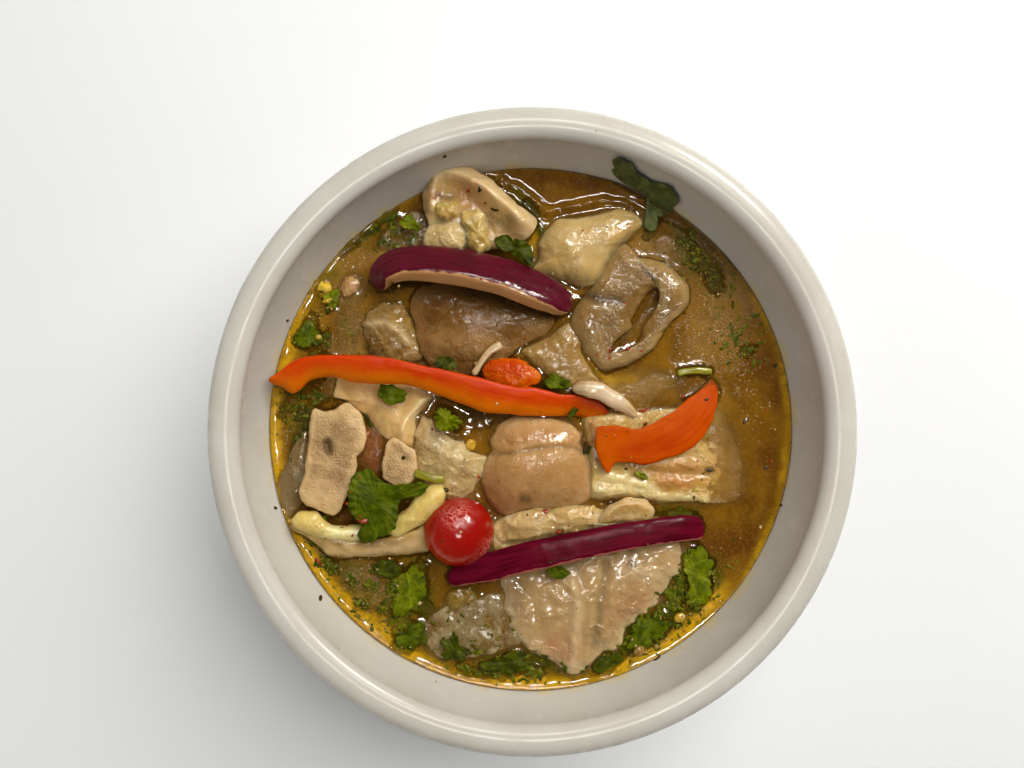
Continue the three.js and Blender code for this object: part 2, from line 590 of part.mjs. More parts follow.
    outline: [[-75.4, 28.6], [-72, 33], [-69, 35], [-66.4, 31], [-65.4, 27], [-69, 25.4], [-73.4, 26]],
    level: FLOATING, ripple: 0.4, sides: 11,
  })],
  ['leaf_tall_left', BRIGHT_HERB, leaf({
    outline: [[-64, 44], [-60.4, 43.6], [-60.6, 39.6], [-62.4, 37.4], [-64.8, 39], [-65.4, 42]],
    level: FLOATING, ripple: 0.4, sides: 9,
  })],
  ['leaf_front_bright', BRIGHT_HERB, leaf({
    outline: [[-36, -41.6], [-33.2, -47], [-33, -51.6], [-36, -56.4], [-40.4, -60], [-44, -57.4],
      [-43, -52], [-40, -49], [-38.4, -45]],
    level: FLOATING, ripple: 0.4, sides: 12,
  })],
  ['leaf_front_dark', DARK_HERB, leaf({
    outline: [[-50.4, -42.4], [-45, -41.2], [-40.6, -43], [-41.4, -47], [-44.6, -47.6], [-48.6, -45.4]],
    level: FLOATING, ripple: 0.4, sides: 9,
  })],
  ['leaf_front_low', HERB, leaf({
    outline: [[-42.6, -65.6], [-43, -68], [-40, -69.4], [-35.6, -68.6], [-33.6, -64], [-34.4, -61],
      [-37.6, -61.4], [-39.4, -64]],
    level: FLOATING, ripple: 0.4, sides: 11,
  })],
  ['leaf_front_edge', DARK_HERB, leaf({
    outline: [[-12, -72.4], [-6, -70.2], [-1.6, -69.8], [1, -72], [-1, -75.4], [-6, -77], [-13, -77],
      [-17, -74.6]],
    level: FLOATING, ripple: 0.4, sides: 11,
  })],
  ['herbs_right', HERB, leaf({
    outline: [[29, -66.6], [31, -62.4], [35.6, -58.6], [40.4, -57], [43.6, -61], [42.6, -65],
      [38, -68.4], [32, -70.4]],
    level: FLOATING, ripple: 0.4, sides: 12,
  })],
  ['leaf_under_slab', DARK_HERB, leaf({
    outline: [[18.6, -75.6], [20, -73], [24, -71.2], [28.6, -70.4], [29.4, -72.4], [26, -75.2],
      [21.4, -76.8]],
    level: FLOATING, ripple: 0.4, sides: 9,
  })],
  ['stem_right', 0x7a7a22, strip({
    path: [[46, 17.6, 52.4], [51, 18.3, 52.9], [57, 18, 52.4]],
    width: [2.2, 2.2], thick: [2, 2], bands: 5, sides: 6,
  })],
  ['garlic_cube', 0xc9a03a, lump({
    outline: [[-67.4, 43.6], [-66.6, 46.6], [-63.4, 46.8], [-62.6, 44], [-64, 41.8], [-66.4, 41.6]],
    level: 52.2, crown: 1.8, depth: 2.6, round: 0.4, sides: 8, rises: SMALL_RISES,
  })],
  ['shallot_cube', 0xb98a70, lump({
    outline: [[-59.6, 44], [-58.6, 47.4], [-55, 48], [-53.6, 45.4], [-55.4, 42.6], [-59, 41.6]],
    level: 52.2, crown: 2, depth: 2.8, round: 0.4, sides: 8, rises: SMALL_RISES,
  })],
  ['pulp_cube', 0xa58f45, lump({
    outline: [[-26, -51.4], [-22, -50.4], [-17.8, -50.6], [-17, -54], [-20.6, -56], [-25, -57.2],
      [-27, -54.4]],
    level: 52.2, crown: 2, depth: 2.8, round: 0.5, sides: 9, rises: SMALL_RISES,
  })],
];

// The scraps that float on the open broth: [x, y, across, height]
const SCRAPS = [
  [46.8, -58.6, 4, 1.6], [1.6, -78, 4.2, 1.2], [-74.6, 25.6, 3.2, 1], [-71.6, 6.2, 2.6, 0.9],
  [-76.6, 6, 3.4, 1], [-67.4, -42, 2.6, 1], [-54.6, -49.4, 2.6, 0.9], [66, 3.4, 2.6, 0.8],
  [72.6, 12.2, 2.8, 0.8], [57.6, 49.8, 4.4, 0.9], [60.6, -44.6, 3, 0.9], [42, 58, 3.6, 0.8],
];

const bowlOfSouse = new THREE.Group();

function addPart(name, colour, geometry, roughness) {
  const material = new THREE.MeshStandardMaterial({ color: colour, roughness, metalness: 0 });
  const mesh = new THREE.Mesh(geometry, material);
  mesh.name = name;
  bowlOfSouse.add(mesh);
}

addPart('bowl', 0xd9d3c4, bowlShape(), 0.2);

const room = toSolid(roomShape(HEIGHT));
let broth = toSolid(roomShape(BROTH_LEVEL));
const above = [];

for (const [name, colour, shape] of FOOD) {
  let piece = toSolid(shape).intersect(room);
  for (const cutter of above) piece = piece.subtract(cutter);
  addPart(name, colour, toGeometry(largestBody(piece)), 0.35);
  above.push(grown(shape, LIFT));
  broth = broth.subtract(grown(shape));
}

for (const [x, y, across, high] of SCRAPS) broth = broth.add(toSolid(scrap([x, y], across, high)));
addPart('broth', 0x7a5518, toGeometry(largestBody(broth)), 0.15);

export default bowlOfSouse;
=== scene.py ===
"""A bowl of cow foot souse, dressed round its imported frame.

Shapes are worked out in millimetres with +Z up and put into the meshes in metres. Outlines are
drawn on the level of the broth, the view plane, as one eye above the bowl sees them, so a thing
that lies higher is drawn in towards the point under the eye.
"""

import logging
from dataclasses import dataclass
from enum import Enum
from functools import cached_property
from typing import Any, Iterable

import bpy
import numpy as np
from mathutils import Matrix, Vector


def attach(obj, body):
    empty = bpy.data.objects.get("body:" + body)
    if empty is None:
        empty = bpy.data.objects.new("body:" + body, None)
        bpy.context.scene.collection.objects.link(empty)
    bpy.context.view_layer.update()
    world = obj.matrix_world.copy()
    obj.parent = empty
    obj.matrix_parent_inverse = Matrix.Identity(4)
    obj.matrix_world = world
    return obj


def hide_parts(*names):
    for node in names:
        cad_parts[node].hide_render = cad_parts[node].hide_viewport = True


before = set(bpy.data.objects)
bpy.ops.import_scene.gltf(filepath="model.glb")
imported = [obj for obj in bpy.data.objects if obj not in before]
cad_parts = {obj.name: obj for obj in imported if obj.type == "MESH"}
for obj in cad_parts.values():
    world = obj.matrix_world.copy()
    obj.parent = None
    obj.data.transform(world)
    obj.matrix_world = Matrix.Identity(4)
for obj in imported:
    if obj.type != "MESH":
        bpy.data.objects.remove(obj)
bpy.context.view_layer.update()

LOG = logging.getLogger("souse")

Array = np.ndarray
Flat = tuple[float, ...]
Pair = tuple[float, float]
Triple = tuple[float, float, float]
Tint = tuple[int, int, int]
Mesh = bpy.types.Object

METRES = 0.001
BODY = "root"
EYE = np.array((-3.0, 14.0, 303.0))
LEVEL = 52.0

# The inner wall: its radius at the lip, its height there, its depth and its two powers
INNER_RADIUS = 86.6
INNER_TOP = 66.5
INNER_DEPTH = 58.3
SHOULDER = 3.0
BELLY = 1.4

# Past the shore's radius a small thing rests on the wall, and a steeper slope isn't followed
SHORE = 81.0
STEEPEST = 1.2
# A piece whose level is no higher above the broth stands in it
AFLOAT = 1.3

# The colours that soak into flesh and into leaves, and what darkens chopped things
BROTH_STAIN = (128, 90, 34)
HERB_STAIN = (52, 52, 10)
CHOP_SHADE = (150, 150, 150)

# The noise: the turn and shift of its cubes between octaves, and the factors of its hash
SKEW = np.array(((0.36, 0.48, -0.8), (-0.8, 0.6, 0.0), (0.48, 0.64, 0.6)))
SHIFT = 17.3
HASH_AXES = np.array((73856093, 19349663, 83492791))
HASH_SEED = 668265263
HASH_MIX = 1274126177


def with_heights(flat: Array, heights: Array) -> Array:
    """Flat places and their heights, as places."""
    return np.concatenate((flat, heights[..., None]), axis=-1)


def drawn_in(spots: Array, heights: Array) -> Array:
    """Moves spots of the view plane to their places at given heights.

    A spot keeps its line of sight: its distance from the point under the eye is multiplied by
    (eye height - z) / (eye height - level of the broth).

    Args:
        spots: View-plane places, two numbers in the last axis.
        heights: The height of each.

    Returns:
        Places with three numbers in the last axis.
    """
    share = (EYE[2] - heights) / (EYE[2] - LEVEL)
    return with_heights(EYE[:2] + (spots - EYE[:2]) * share[..., None], heights)


def on_plane(places: Array) -> Array:
    """The view-plane spots of places, the reverse of drawn_in."""
    back = (EYE[2] - LEVEL) / (EYE[2] - places[..., 2])
    return EYE[:2] + (places[..., :2] - EYE[:2]) * back[..., None]


def smooth(low: float, high: float, values: Array) -> Array:
    """The cubic step 3t^2 - 2t^3 of values between two limits."""
    t = np.clip((values - low) / (high - low), 0, 1)
    return t * t * (3 - 2 * t)


def pairs(values: Flat) -> Array:
    """Turns x, y, x, y... into rows of two."""
    return np.asarray(values, float).reshape(-1, 2)


def unit(vectors: Array) -> Array:
    """Vectors, in the last axis, at a length of one."""
    return vectors / np.linalg.norm(vectors, axis=-1, keepdims=True)


def from_axis(places: Array) -> Array:
    """The distance of places from the bowl's axis."""
    return np.linalg.norm(places[..., :2], axis=-1)


def turns(count: int) -> Array:
    """Even turns of a whole circle, in radians."""
    return np.arange(count) * 2 * np.pi / count


def circle(count: int) -> Array:
    """Even points of a unit circle."""
    turn = turns(count)
    return np.stack((np.cos(turn), np.sin(turn)), -1)


def ball(turn: Array, rise: Array) -> Array:
    """Places of a unit ball: (cos rise cos turn, cos rise sin turn, sin rise), a row a rise."""
    flat = np.cos(rise)
    return np.stack((flat * np.cos(turn), flat * np.sin(turn), np.sin(rise) + 0 * turn), -1)


def powered(values: Array, power: float) -> Array:
    """Values raised to a power with their signs kept, as in a superellipse."""
    return np.sign(values) * np.abs(values) ** power


def along_row(row: Flat, t: Array) -> Array:
    """The values of an evenly spread row at shares of its length."""
    return np.interp(t, np.linspace(0, 1, len(row)), row)


def dense_curve(points: Array, closed: bool, steps: int = 24) -> Array:
    """Samples a centripetal Catmull-Rom curve through points.

    Each span is a cubic Hermite whose end slopes weigh the chords on both sides by the square
    roots of their lengths. An open curve is carried on straight past its ends for that.

    Args:
        points: The points, one a row.
        closed: Whether the curve returns to its first point.
        steps: Samples in each span.

    Returns:
        The samples, one a row, with the end point as the last.
    """
    if closed:
        before, here, after, beyond = (np.roll(points, k, axis=0) for k in (1, 0, -1, -2))
    else:
        ends = (2 * points[0] - points[1], points, 2 * points[-1] - points[-2])
        longer = np.vstack(ends)
        before, here, after, beyond = longer[:-3], longer[1:-2], longer[2:-1], longer[3:]
    chords = ((before, here), (here, after), (after, beyond))
    d0, d1, d2 = (np.sqrt(np.linalg.norm(b - a, axis=1, keepdims=True)) for a, b in chords)
    start = ((here - before) / d0 - (after - before) / (d0 + d1) + (after - here) / d1) * d1
    stop = ((after - here) / d1 - (beyond - here) / (d1 + d2) + (beyond - after) / d2) * d1
    t = np.linspace(0, 1, steps, endpoint=False)[None, :, None]
    here, after, start, stop = (part[:, None] for part in (here, after, start, stop))
    span = (
        (2 * t**3 - 3 * t**2 + 1) * here
        + (t**3 - 2 * t**2 + t) * start
        + (3 * t**2 - 2 * t**3) * after
        + (t**3 - t**2) * stop
    )
    last = points[:1] if closed else points[-1:]
    return np.vstack((span.reshape(-1, points.shape[1]), last))


def at_shares(line: Array, shares: Array) -> Array:
    """Places at shares, from 0 to 1, of a sampled line's length."""
    run = np.concatenate(([0.0], np.cumsum(np.linalg.norm(np.diff(line, axis=0), axis=1))))
    return np.stack([np.interp(shares * run[-1], run, part) for part in line.T], axis=-1)


def length_of(line: Array) -> float:
    """The length of a sampled line."""
    return float(np.linalg.norm(np.diff(line, axis=0), axis=1).sum())


def middle_of(outline: Array) -> tuple[float, Array]:
    """The signed area of a closed outline, and the middle of that area."""
    ahead = np.roll(outline, -1, axis=0)
    cross = outline[:, 0] * ahead[:, 1] - ahead[:, 0] * outline[:, 1]
    area = cross.sum() / 2
    return area, ((outline + ahead) * cross[:, None]).sum(0) / (6 * area)


def turned_left(values: Flat) -> Array:
    """The points of an outline, in anticlockwise order."""
    outline = pairs(values)
    return outline if middle_of(outline)[0] > 0 else outline[::-1]


def lumpy(places: Array, size: float, seed: int, octaves: int = 1) -> Array:
    """Value noise, about -1 to 1: smooth blends of random values at the corners of cubes.

    Each further octave halves the cube and the height.

    Args:
        places: Places in millimetres, three numbers in the last axis.
        size: Side of the largest cube in millimetres.
        seed: Which noise.
        octaves: How many sizes are added up.

    Returns:
        One value for each place.
    """
    total = np.zeros(places.shape[:-1])
    cells = places / size
    for octave in range(octaves):
        cells = cells @ SKEW * (2 if octave else 1) + SHIFT
        base = np.floor(cells).astype(np.int64)
        part = cells - base
        part = part * part * (3 - 2 * part)
        for corner in np.ndindex(2, 2, 2):
            spot = (base + corner) * HASH_AXES
            code = (spot[..., 0] ^ spot[..., 1] ^ spot[..., 2]) + seed * HASH_SEED
            code = ((code ^ (code >> 13)) * HASH_MIX) & 0x7FFFFFFF
            value = ((code ^ (code >> 15)) & 0xFFFF) / 32767.5 - 1
            weight = np.where(np.array(corner) == 1, part, 1 - part).prod(-1)
            total += value * weight / 2**octave
    return total


@dataclass(frozen=True)
class Trace:
    """A soft band along a path of the view plane.

    Its strength falls off with the distance from the path as exp(-(distance / reach)^2).
    """

    path: Flat
    strength: float
    reach: float

    def over(self, spots: Array) -> Array:
        """The band's strength at each spot."""
        ends = pairs(self.path)
        nearest = np.linalg.norm(spots - ends[0], axis=-1)
        for start, stop in zip(ends[:-1], ends[1:]):
            chord = stop - start
            share = np.clip((spots - start) @ chord / (chord @ chord), 0, 1)
            away = np.linalg.norm(spots - start - share[..., None] * chord, axis=-1)
            nearest = np.minimum(nearest, away)
        return self.strength * np.exp(-((nearest / self.reach) ** 2))


def traced(traces: Iterable[Trace], spots: Array) -> Array:
    """The sum of some bands at each spot."""
    return sum((trace.over(spots) for trace in traces), np.zeros(spots.shape[:-1]))


def normals_of(grid: Array, wrapped: bool) -> Array:
    """Outward unit normals of a grid, from the cross product of its two directions.

    Args:
        grid: Places, whose columns run anticlockwise and whose rows rise.
        wrapped: Whether the rows come round again; otherwise the ends are poles.

    Returns:
        A normal for each place.
    """
    across = np.roll(grid, -1, axis=1) - np.roll(grid, 1, axis=1)
    if wrapped:
        along = np.roll(grid, -1, axis=0) - np.roll(grid, 1, axis=0)
    else:
        along = np.gradient(grid, axis=0)
    normal = np.cross(across, along)
    if not wrapped:
        normal[0] = normal[1].mean(0)
        normal[-1] = normal[-2].mean(0)
    return normal / np.maximum(np.linalg.norm(normal, axis=-1, keepdims=True), 1e-9)


def lay_mesh(name: str, points: Array, faces: list[Array], tones: dict[str, Array]) -> Mesh:
    """Puts points and faces into a new mesh object.

    Args:
        name: The piece's name.
        points: Places in millimetres, one a row.
        faces: Arrays of corner numbers, each with one kind of face.
        tones: Values, or rows of three, at the points, kept as attributes.

    Returns:
        The object, smooth shaded, at the origin.
    """
    mesh = bpy.data.meshes.new(name)
    mesh.vertices.add(len(points))
    mesh.vertices.foreach_set("co", (points * METRES).astype(np.float32).ravel())
    sizes = np.concatenate([np.full(len(part), part.shape[1]) for part in faces])
    corners = np.concatenate([part.ravel() for part in faces])
    mesh.loops.add(len(corners))
    mesh.loops.foreach_set("vertex_index", corners.astype(np.int32))
    mesh.polygons.add(len(sizes))
    starts = np.concatenate(([0], np.cumsum(sizes)[:-1]))
    mesh.polygons.foreach_set("loop_start", starts.astype(np.int32))
    mesh.polygons.foreach_set("use_smooth", np.ones(len(sizes), bool))
    for tone, values in tones.items():
        kind, key = ("FLOAT", "value") if values.ndim == 1 else ("FLOAT_VECTOR", "vector")
        kept = mesh.attributes.new(tone, kind, "POINT").data
        kept.foreach_set(key, values.astype(np.float32).ravel())
    mesh.update(calc_edges=True)
    mesh.validate()
    piece = bpy.data.objects.new(name, mesh)
    bpy.context.scene.collection.objects.link(piece)
    return piece


def without_poles(values: Array) -> Array:
    """Flattens a grid whose first and last row are single points."""
    inner = values[1:-1].reshape(-1, *values.shape[2:])
    return np.concatenate((values[:1, 0], inner, values[-1:, 0]))


def pole_faces(rows: int, cols: int) -> list[Array]:
    """The faces of a closed grid with two poles and so many rows between them.

    Args:
        rows: Rows between the poles.
        cols: Points in each row.

    Returns:
        The quads between the rows, and the triangles at the lower and at the upper pole.
    """
    inner = np.arange(1, 1 + rows * cols).reshape(rows, cols)
    ahead = np.roll(inner, -1, axis=1)
    quads = np.stack((inner[:-1], ahead[:-1], ahead[1:], inner[1:]), -1).reshape(-1, 4)
    low = np.stack((np.zeros(cols, int), ahead[0], inner[0]), -1)
    high = np.stack((np.full(cols, rows * cols + 1), inner[-1], ahead[-1]), -1)
    return [quads, low, high]


def ball_mesh(name: str, grid: Array, tones: dict[str, Array]) -> Mesh:
    """A closed mesh of a grid whose columns run round and whose first and last row are poles."""
    flat = {tone: without_poles(values) for tone, values in tones.items()}
    faces = pole_faces(grid.shape[0] - 2, grid.shape[1])
    return lay_mesh(name, without_poles(grid), faces, flat)


def ring_mesh(name: str, grid: Array, tones: dict[str, Array]) -> Mesh:
    """A closed mesh of a grid that runs round both ways, as a ring's does."""
    rows, cols = grid.shape[:2]
    here = np.arange(rows * cols).reshape(rows, cols)
    ahead = np.roll(here, -1, axis=1)
    quads = np.stack((here, ahead, np.roll(ahead, -1, axis=0), np.roll(here, -1, axis=0)), -1)
    flat = {tone: values.reshape(-1, *values.shape[2:]) for tone, values in tones.items()}
    return lay_mesh(name, grid.reshape(-1, 3), [quads.reshape(-1, 4)], flat)


def linear(tint: Tint) -> tuple[float, float, float, float]:
    """The linear colour of an 8-bit tint: ((s + 0.055) / 1.055)^2.4 above the dark toe."""
    share = np.asarray(tint, float) / 255
    value = np.where(share > 0.04045, ((share + 0.055) / 1.055) ** 2.4, share / 12.92)
    return (*map(float, value), 1.0)


class Wire:
    """An output of a node that takes part in Python maths; each operator adds a Math node."""

    def __init__(self, bench: "Bench", socket: bpy.types.NodeSocket) -> None:
        """Keeps the bench that the node stands on."""
        self.bench = bench
        self.socket = socket

    def _math(self, operation: str, *values: "Wire | float") -> "Wire":
        """Adds a Math node that works on the given values."""
        return self.bench.add("ShaderNodeMath", {"operation": operation}, dict(enumerate(values)))

    def __add__(self, other: "Wire | float") -> "Wire":
        """self + other."""
        return self._math("ADD", self, other)

    __radd__ = __add__

    def __rsub__(self, other: float) -> "Wire":
        """other - self."""
        return self._math("SUBTRACT", other, self)

    def __mul__(self, other: "Wire | float") -> "Wire":
        """self * other."""
        return self._math("MULTIPLY", self, other)

    __rmul__ = __mul__

    def between(self, low: float, high: float) -> "Wire":
        """A smooth step from 0 at one limit to 1 at the other."""
        limits = {"Value": self, "From Min": low, "From Max": high}
        return self.bench.add("ShaderNodeMapRange", {"interpolation_type": "SMOOTHSTEP"}, limits)


class Bench:
    """A material's node tree, with one method that adds any node and short ones for some."""

    def __init__(self, name: str) -> None:
        """Starts a material that has its shader and its output."""
        self.material = bpy.data.materials.new(name)
        self.material.use_nodes = True
        self.tree = self.material.node_tree
        self.shader = self.tree.nodes["Principled BSDF"]

    def add(
        self,
        kind: str,
        settings: dict[str, Any] | None = None,
        inputs: dict[int | str, Any] | None = None,
        output: int | str = 0,
    ) -> Wire:
        """Adds a node.

        Args:
            kind: The node's type.
            settings: Its properties, set first; "stops" holds a ramp's places and colours.
            inputs: Values or wires for its sockets.
            output: Which output the wire comes from.

        Returns:
            The wire of that output.
        """
        node = self.tree.nodes.new(kind)
        for key, value in (settings or {}).items():
            if key == "stops":
                ramp = node.color_ramp.elements
                while len(ramp) < len(value):
                    ramp.new(1.0)
                for stop, (place, colour) in zip(ramp, value):
                    stop.position, stop.color = place, colour
            else:
                setattr(node, key, value)
        for key, value in (inputs or {}).items():
            self.feed(node.inputs[key], value)
        return Wire(self, node.outputs[output])

    def feed(self, socket: bpy.types.NodeSocket, value: Any) -> None:
        """Links a wire to a socket, or sets the socket's own value."""
        if isinstance(value, Wire):
            self.tree.links.new(value.socket, socket)
        else:
            socket.default_value = value

    def tone(self, name: str) -> Wire:
        """A number that the piece keeps at its points."""
        return self.add("ShaderNodeAttribute", {"attribute_name": name}, output="Fac")

    def vector(self, operation: str, first: Wire, second: Triple, output: int = 0) -> Wire:
        """Works on a vector."""
        maths = {"operation": operation}
        return self.add("ShaderNodeVectorMath", maths, {0: first, 1: second}, output)

    def place(self, stretch: Triple = (1, 1, 1)) -> Wire:
        """The place in the row's frame, in millimetres."""
        source = self.add("ShaderNodeTexCoord", output="Object")
        return self.vector("MULTIPLY", source, tuple(part / METRES for part in stretch))

    def grain(self, stretch: Triple) -> Wire:
        """The place along, across and over a strip, in millimetres."""
        source = self.add("ShaderNodeAttribute", {"attribute_name": "grain"}, output="Vector")
        return self.vector("MULTIPLY", source, stretch)

    def height(self, place: Wire) -> Wire:
        """The height of a place, in millimetres."""
        return self.add("ShaderNodeSeparateXYZ", inputs={0: place}, output=2)

    def noise(self, place: Wire, size: float, detail: float = 2.0, twist: float = 0.0) -> Wire:
        """Soft noise with blotches of a size, in millimetres."""
        inputs = {"Vector": place, "Scale": 1 / size, "Detail": detail, "Distortion": twist}
        return self.add("ShaderNodeTexNoise", inputs=inputs)

    def cells(self, place: Wire, size: float) -> Wire:
        """The distance to the nearest of many scattered points, a size apart."""
        return self.add("ShaderNodeTexVoronoi", inputs={"Vector": place, "Scale": 1 / size})

    def mix(
        self, share: Wire | float, first: Wire | Tint, second: Wire | Tint, blend: str = "MIX"
    ) -> Wire:
        """Blends two colours.

        Args:
            share: How much of the second.
            first: The first colour.
            second: The second colour.
            blend: How they are blended.

        Returns:
            The blend.
        """
        ends = [part if isinstance(part, Wire) else linear(part) for part in (first, second)]
        kind = {"data_type": "RGBA", "blend_type": blend}
        return self.add("ShaderNodeMix", kind, {0: share, 6: ends[0], 7: ends[1]}, output=2)

    def bump(self, height: Wire, strength: float, depth: float) -> Wire:
        """A normal that follows a height; the depth is in millimetres."""
        inputs = {"Strength": strength, "Distance": depth * METRES, "Height": height}
        return self.add("ShaderNodeBump", inputs=inputs)


class Tone(Enum):
    """The masks that a piece keeps at its points, each drawn towards a colour of its finish."""

    PALE = "pale"
    WARM = "warm"
    DARK = "dark"


def glow(weight: float, radii: Triple, depth: float) -> dict[str, Any]:
    """The sockets of the light that goes under a surface; the depth is in millimetres."""
    reach = {"Subsurface_Radius": radii, "Subsurface_Scale": depth * METRES}
    return {"Subsurface_Weight": weight} | reach


@dataclass(frozen=True)
class Finish:
    """A named finish."""

    name: str

    def sockets(self, bench: Bench, place: Wire) -> dict[str, Any]:
        """What feeds the shader's sockets, each named with _ for a space."""
        raise NotImplementedError

    def material(self) -> bpy.types.Material:
        """Makes the material."""
        bench = Bench(self.name)
        for name, value in self.sockets(bench, bench.place()).items():
            bench.feed(bench.shader.inputs[name.replace("_", " ")], value)
        return bench.material


@dataclass(frozen=True)
class Wet(Finish):
    """Boiled and wet skin, jelly or fat: mottled, with a fine grain and small glints.

    The three masks draw it to its pale, warm and dark colours, and it is stained at the broth.
    """

    main: Tint
    deep: Tint
    pale: Tint
    warm: Tint = (150, 88, 50)
    dark: Tint = (70, 50, 30)
    mottle: float = 7.0
    grain: float = 0.9
    rough: float = 0.12
    glints: float = 0.5
    soft: float = 0.75
    stain: float = 0.3
    shine: float = 0.34

    def sockets(self, bench: Bench, place: Wire) -> dict[str, Any]:
        """Mottled flesh whose wet patches glint more."""
        fine = bench.noise(place, self.grain, 3.0)
        blotch = bench.noise(place, self.mottle, 4.0, 0.5).between(0.36, 0.66)
        colour = bench.mix(blotch * 0.6, self.main, self.deep)
        cloud = bench.noise(place, self.mottle * 0.4, 3.0, 0.8).between(0.5, 0.7)
        colour = bench.mix(cloud * 0.25, colour, self.pale)
        colour = bench.mix(fine.between(0.5, 0.8) * 0.2, colour, self.pale)
        for tone, tint in ((Tone.PALE, self.pale), (Tone.WARM, self.warm), (Tone.DARK, self.dark)):
            colour = bench.mix(bench.tone(tone.value) * (0.75 + fine * 0.5), colour, tint)
        soak = 1 - bench.height(place).between(LEVEL - 0.6, LEVEL + 1.0)
        colour = bench.mix(soak * self.stain, colour, BROTH_STAIN)
        wet = bench.noise(place, 6.0, 1.0).between(0.48, 0.62)
        relief = fine * (0.2 + wet) + bench.noise(place, self.grain * 3.0, 2.0) * 0.8
        return dict(
            Base_Color=colour,
            Roughness=self.rough + fine * 0.1,
            Normal=bench.bump(relief, self.glints, self.grain * 0.8),
            Specular_IOR_Level=self.shine,
            Coat_Weight=self.shine * 0.5,
            Coat_Roughness=0.05,
            **glow(self.soft, (1.0, 0.6, 0.35), 5.0),
        )


@dataclass(frozen=True)
class Porous(Finish):
    """Boiled bone: tan, full of pores on the sawn face, paler and denser at its rim."""

    name: str = "boiled_bone"
    main: Tint = (198, 160, 100)
    deep: Tint = (168, 128, 74)
    rim: Tint = (212, 178, 122)
    pore: Tint = (104, 76, 42)

    def sockets(self, bench: Bench, place: Wire) -> dict[str, Any]:
        """Grit and pores that the pale mask of the rim closes."""
        grit = bench.noise(place, 0.55, 4.0)
        pits = bench.cells(place, 0.6) * 0.5 + grit * 0.8
        open_pores = 1 - pits.between(0.44, 0.68)
        sawn = 1 - bench.tone(Tone.PALE.value)
        cloud = bench.noise(place, 7.0, 4.0, 0.4).between(0.38, 0.66)
        colour = bench.mix(cloud, self.main, self.deep)
        patchy = 0.12 + bench.noise(place, 5.0, 3.0).between(0.4, 0.62) * 0.38
        colour = bench.mix(open_pores * sawn * patchy, colour, self.pore)
        colour = bench.mix(grit.between(0.5, 0.75) * 0.4, colour, self.rim)
        colour = bench.mix(bench.tone(Tone.PALE.value) * 0.7, colour, self.rim)
        colour = bench.mix(bench.tone(Tone.DARK.value) * (0.6 + grit * 0.5), colour, self.pore)
        relief = pits.between(0.3, 0.75) * (0.2 + sawn * 0.5) + grit * 0.5
        return dict(
            Base_Color=colour,
            Roughness=0.38 + grit * 0.2,
            Normal=bench.bump(relief, 0.7, 0.45),
            **glow(0.12, (1.0, 0.6, 0.35), 2.0),
        )


@dataclass(frozen=True)
class Peel(Finish):
    """The peel or cut face of a raw vegetable, streaked along the strip."""

    main: Tint
    deep: Tint
    pale: Tint
    warm: Tint
    dark: Tint
    streak: float = 1.1
    length: float = 0.1
    rough: float = 0.16
    glints: float = 0.25
    soft: float = 0.2
    shine: float = 0.5
    painted_sheen_speckle: float = 0.0

    def sockets(self, bench: Bench, place: Wire) -> dict[str, Any]:
        """Streaks along the strip; with a sheen speckle, the pale tone is speckled as a painted
        highlight and given a fine bump.
        """
        streaks = bench.noise(bench.grain((self.length, 1, 1)), self.streak, 3.0)
        fine = bench.noise(place, 0.7, 3.0)
        colour = bench.mix(streaks.between(0.35, 0.7), self.main, self.deep)
        for tone, tint in ((Tone.WARM, self.warm), (Tone.PALE, self.pale), (Tone.DARK, self.dark)):
            share = bench.tone(tone.value) * (0.8 + streaks * 0.4)
            # Painted highlight: the pale tone is speckled where a sheen speckle is set
            if self.painted_sheen_speckle and tone is Tone.PALE:
                share = share * (fine.between(0.42, 0.6) * 1.5)
            colour = bench.mix(share, colour, tint)
        frosted = bench.tone(Tone.PALE.value) * self.painted_sheen_speckle
        relief = bench.noise(place, 3.2, 2.0) + streaks * 0.5 + fine * (0.12 + frosted)
        return dict(
            Base_Color=colour,
            Roughness=self.rough + fine * 0.12,
            Specular_IOR_Level=self.shine,
            Normal=bench.bump(relief, self.glints, 0.7),
            **glow(self.soft, (1.0, 0.4, 0.2), 2.0),
        )


@dataclass(frozen=True)
class Blade(Finish):
    """A wet herb leaf: darker blotches between paler veins."""

    main: Tint
    deep: Tint
    vein: Tint

    def sockets(self, bench: Bench, place: Wire) -> dict[str, Any]:
        """Blotches and veins, stained at the broth."""
        fine = bench.noise(place, 0.8, 4.0)
        blotch = bench.noise(place, 3.0, 3.0).between(0.38, 0.62)
        colour = bench.mix(blotch * 0.8, self.main, self.deep)
        colour = bench.mix(bench.tone(Tone.PALE.value) * 0.45, colour, self.vein)
        colour = bench.mix(bench.tone(Tone.DARK.value) * 0.8, colour, self.deep)
        soak = 1 - bench.height(place).between(LEVEL, LEVEL + 1.5)
        return dict(
            Base_Color=bench.mix(soak * 0.5, colour, HERB_STAIN),
            Roughness=0.26 + fine * 0.2,
            Normal=bench.bump(fine + blotch * 0.4, 0.6, 0.5),
            Specular_IOR_Level=0.05,
            **glow(0.12, (0.4, 1.0, 0.2), 1.0),
        )


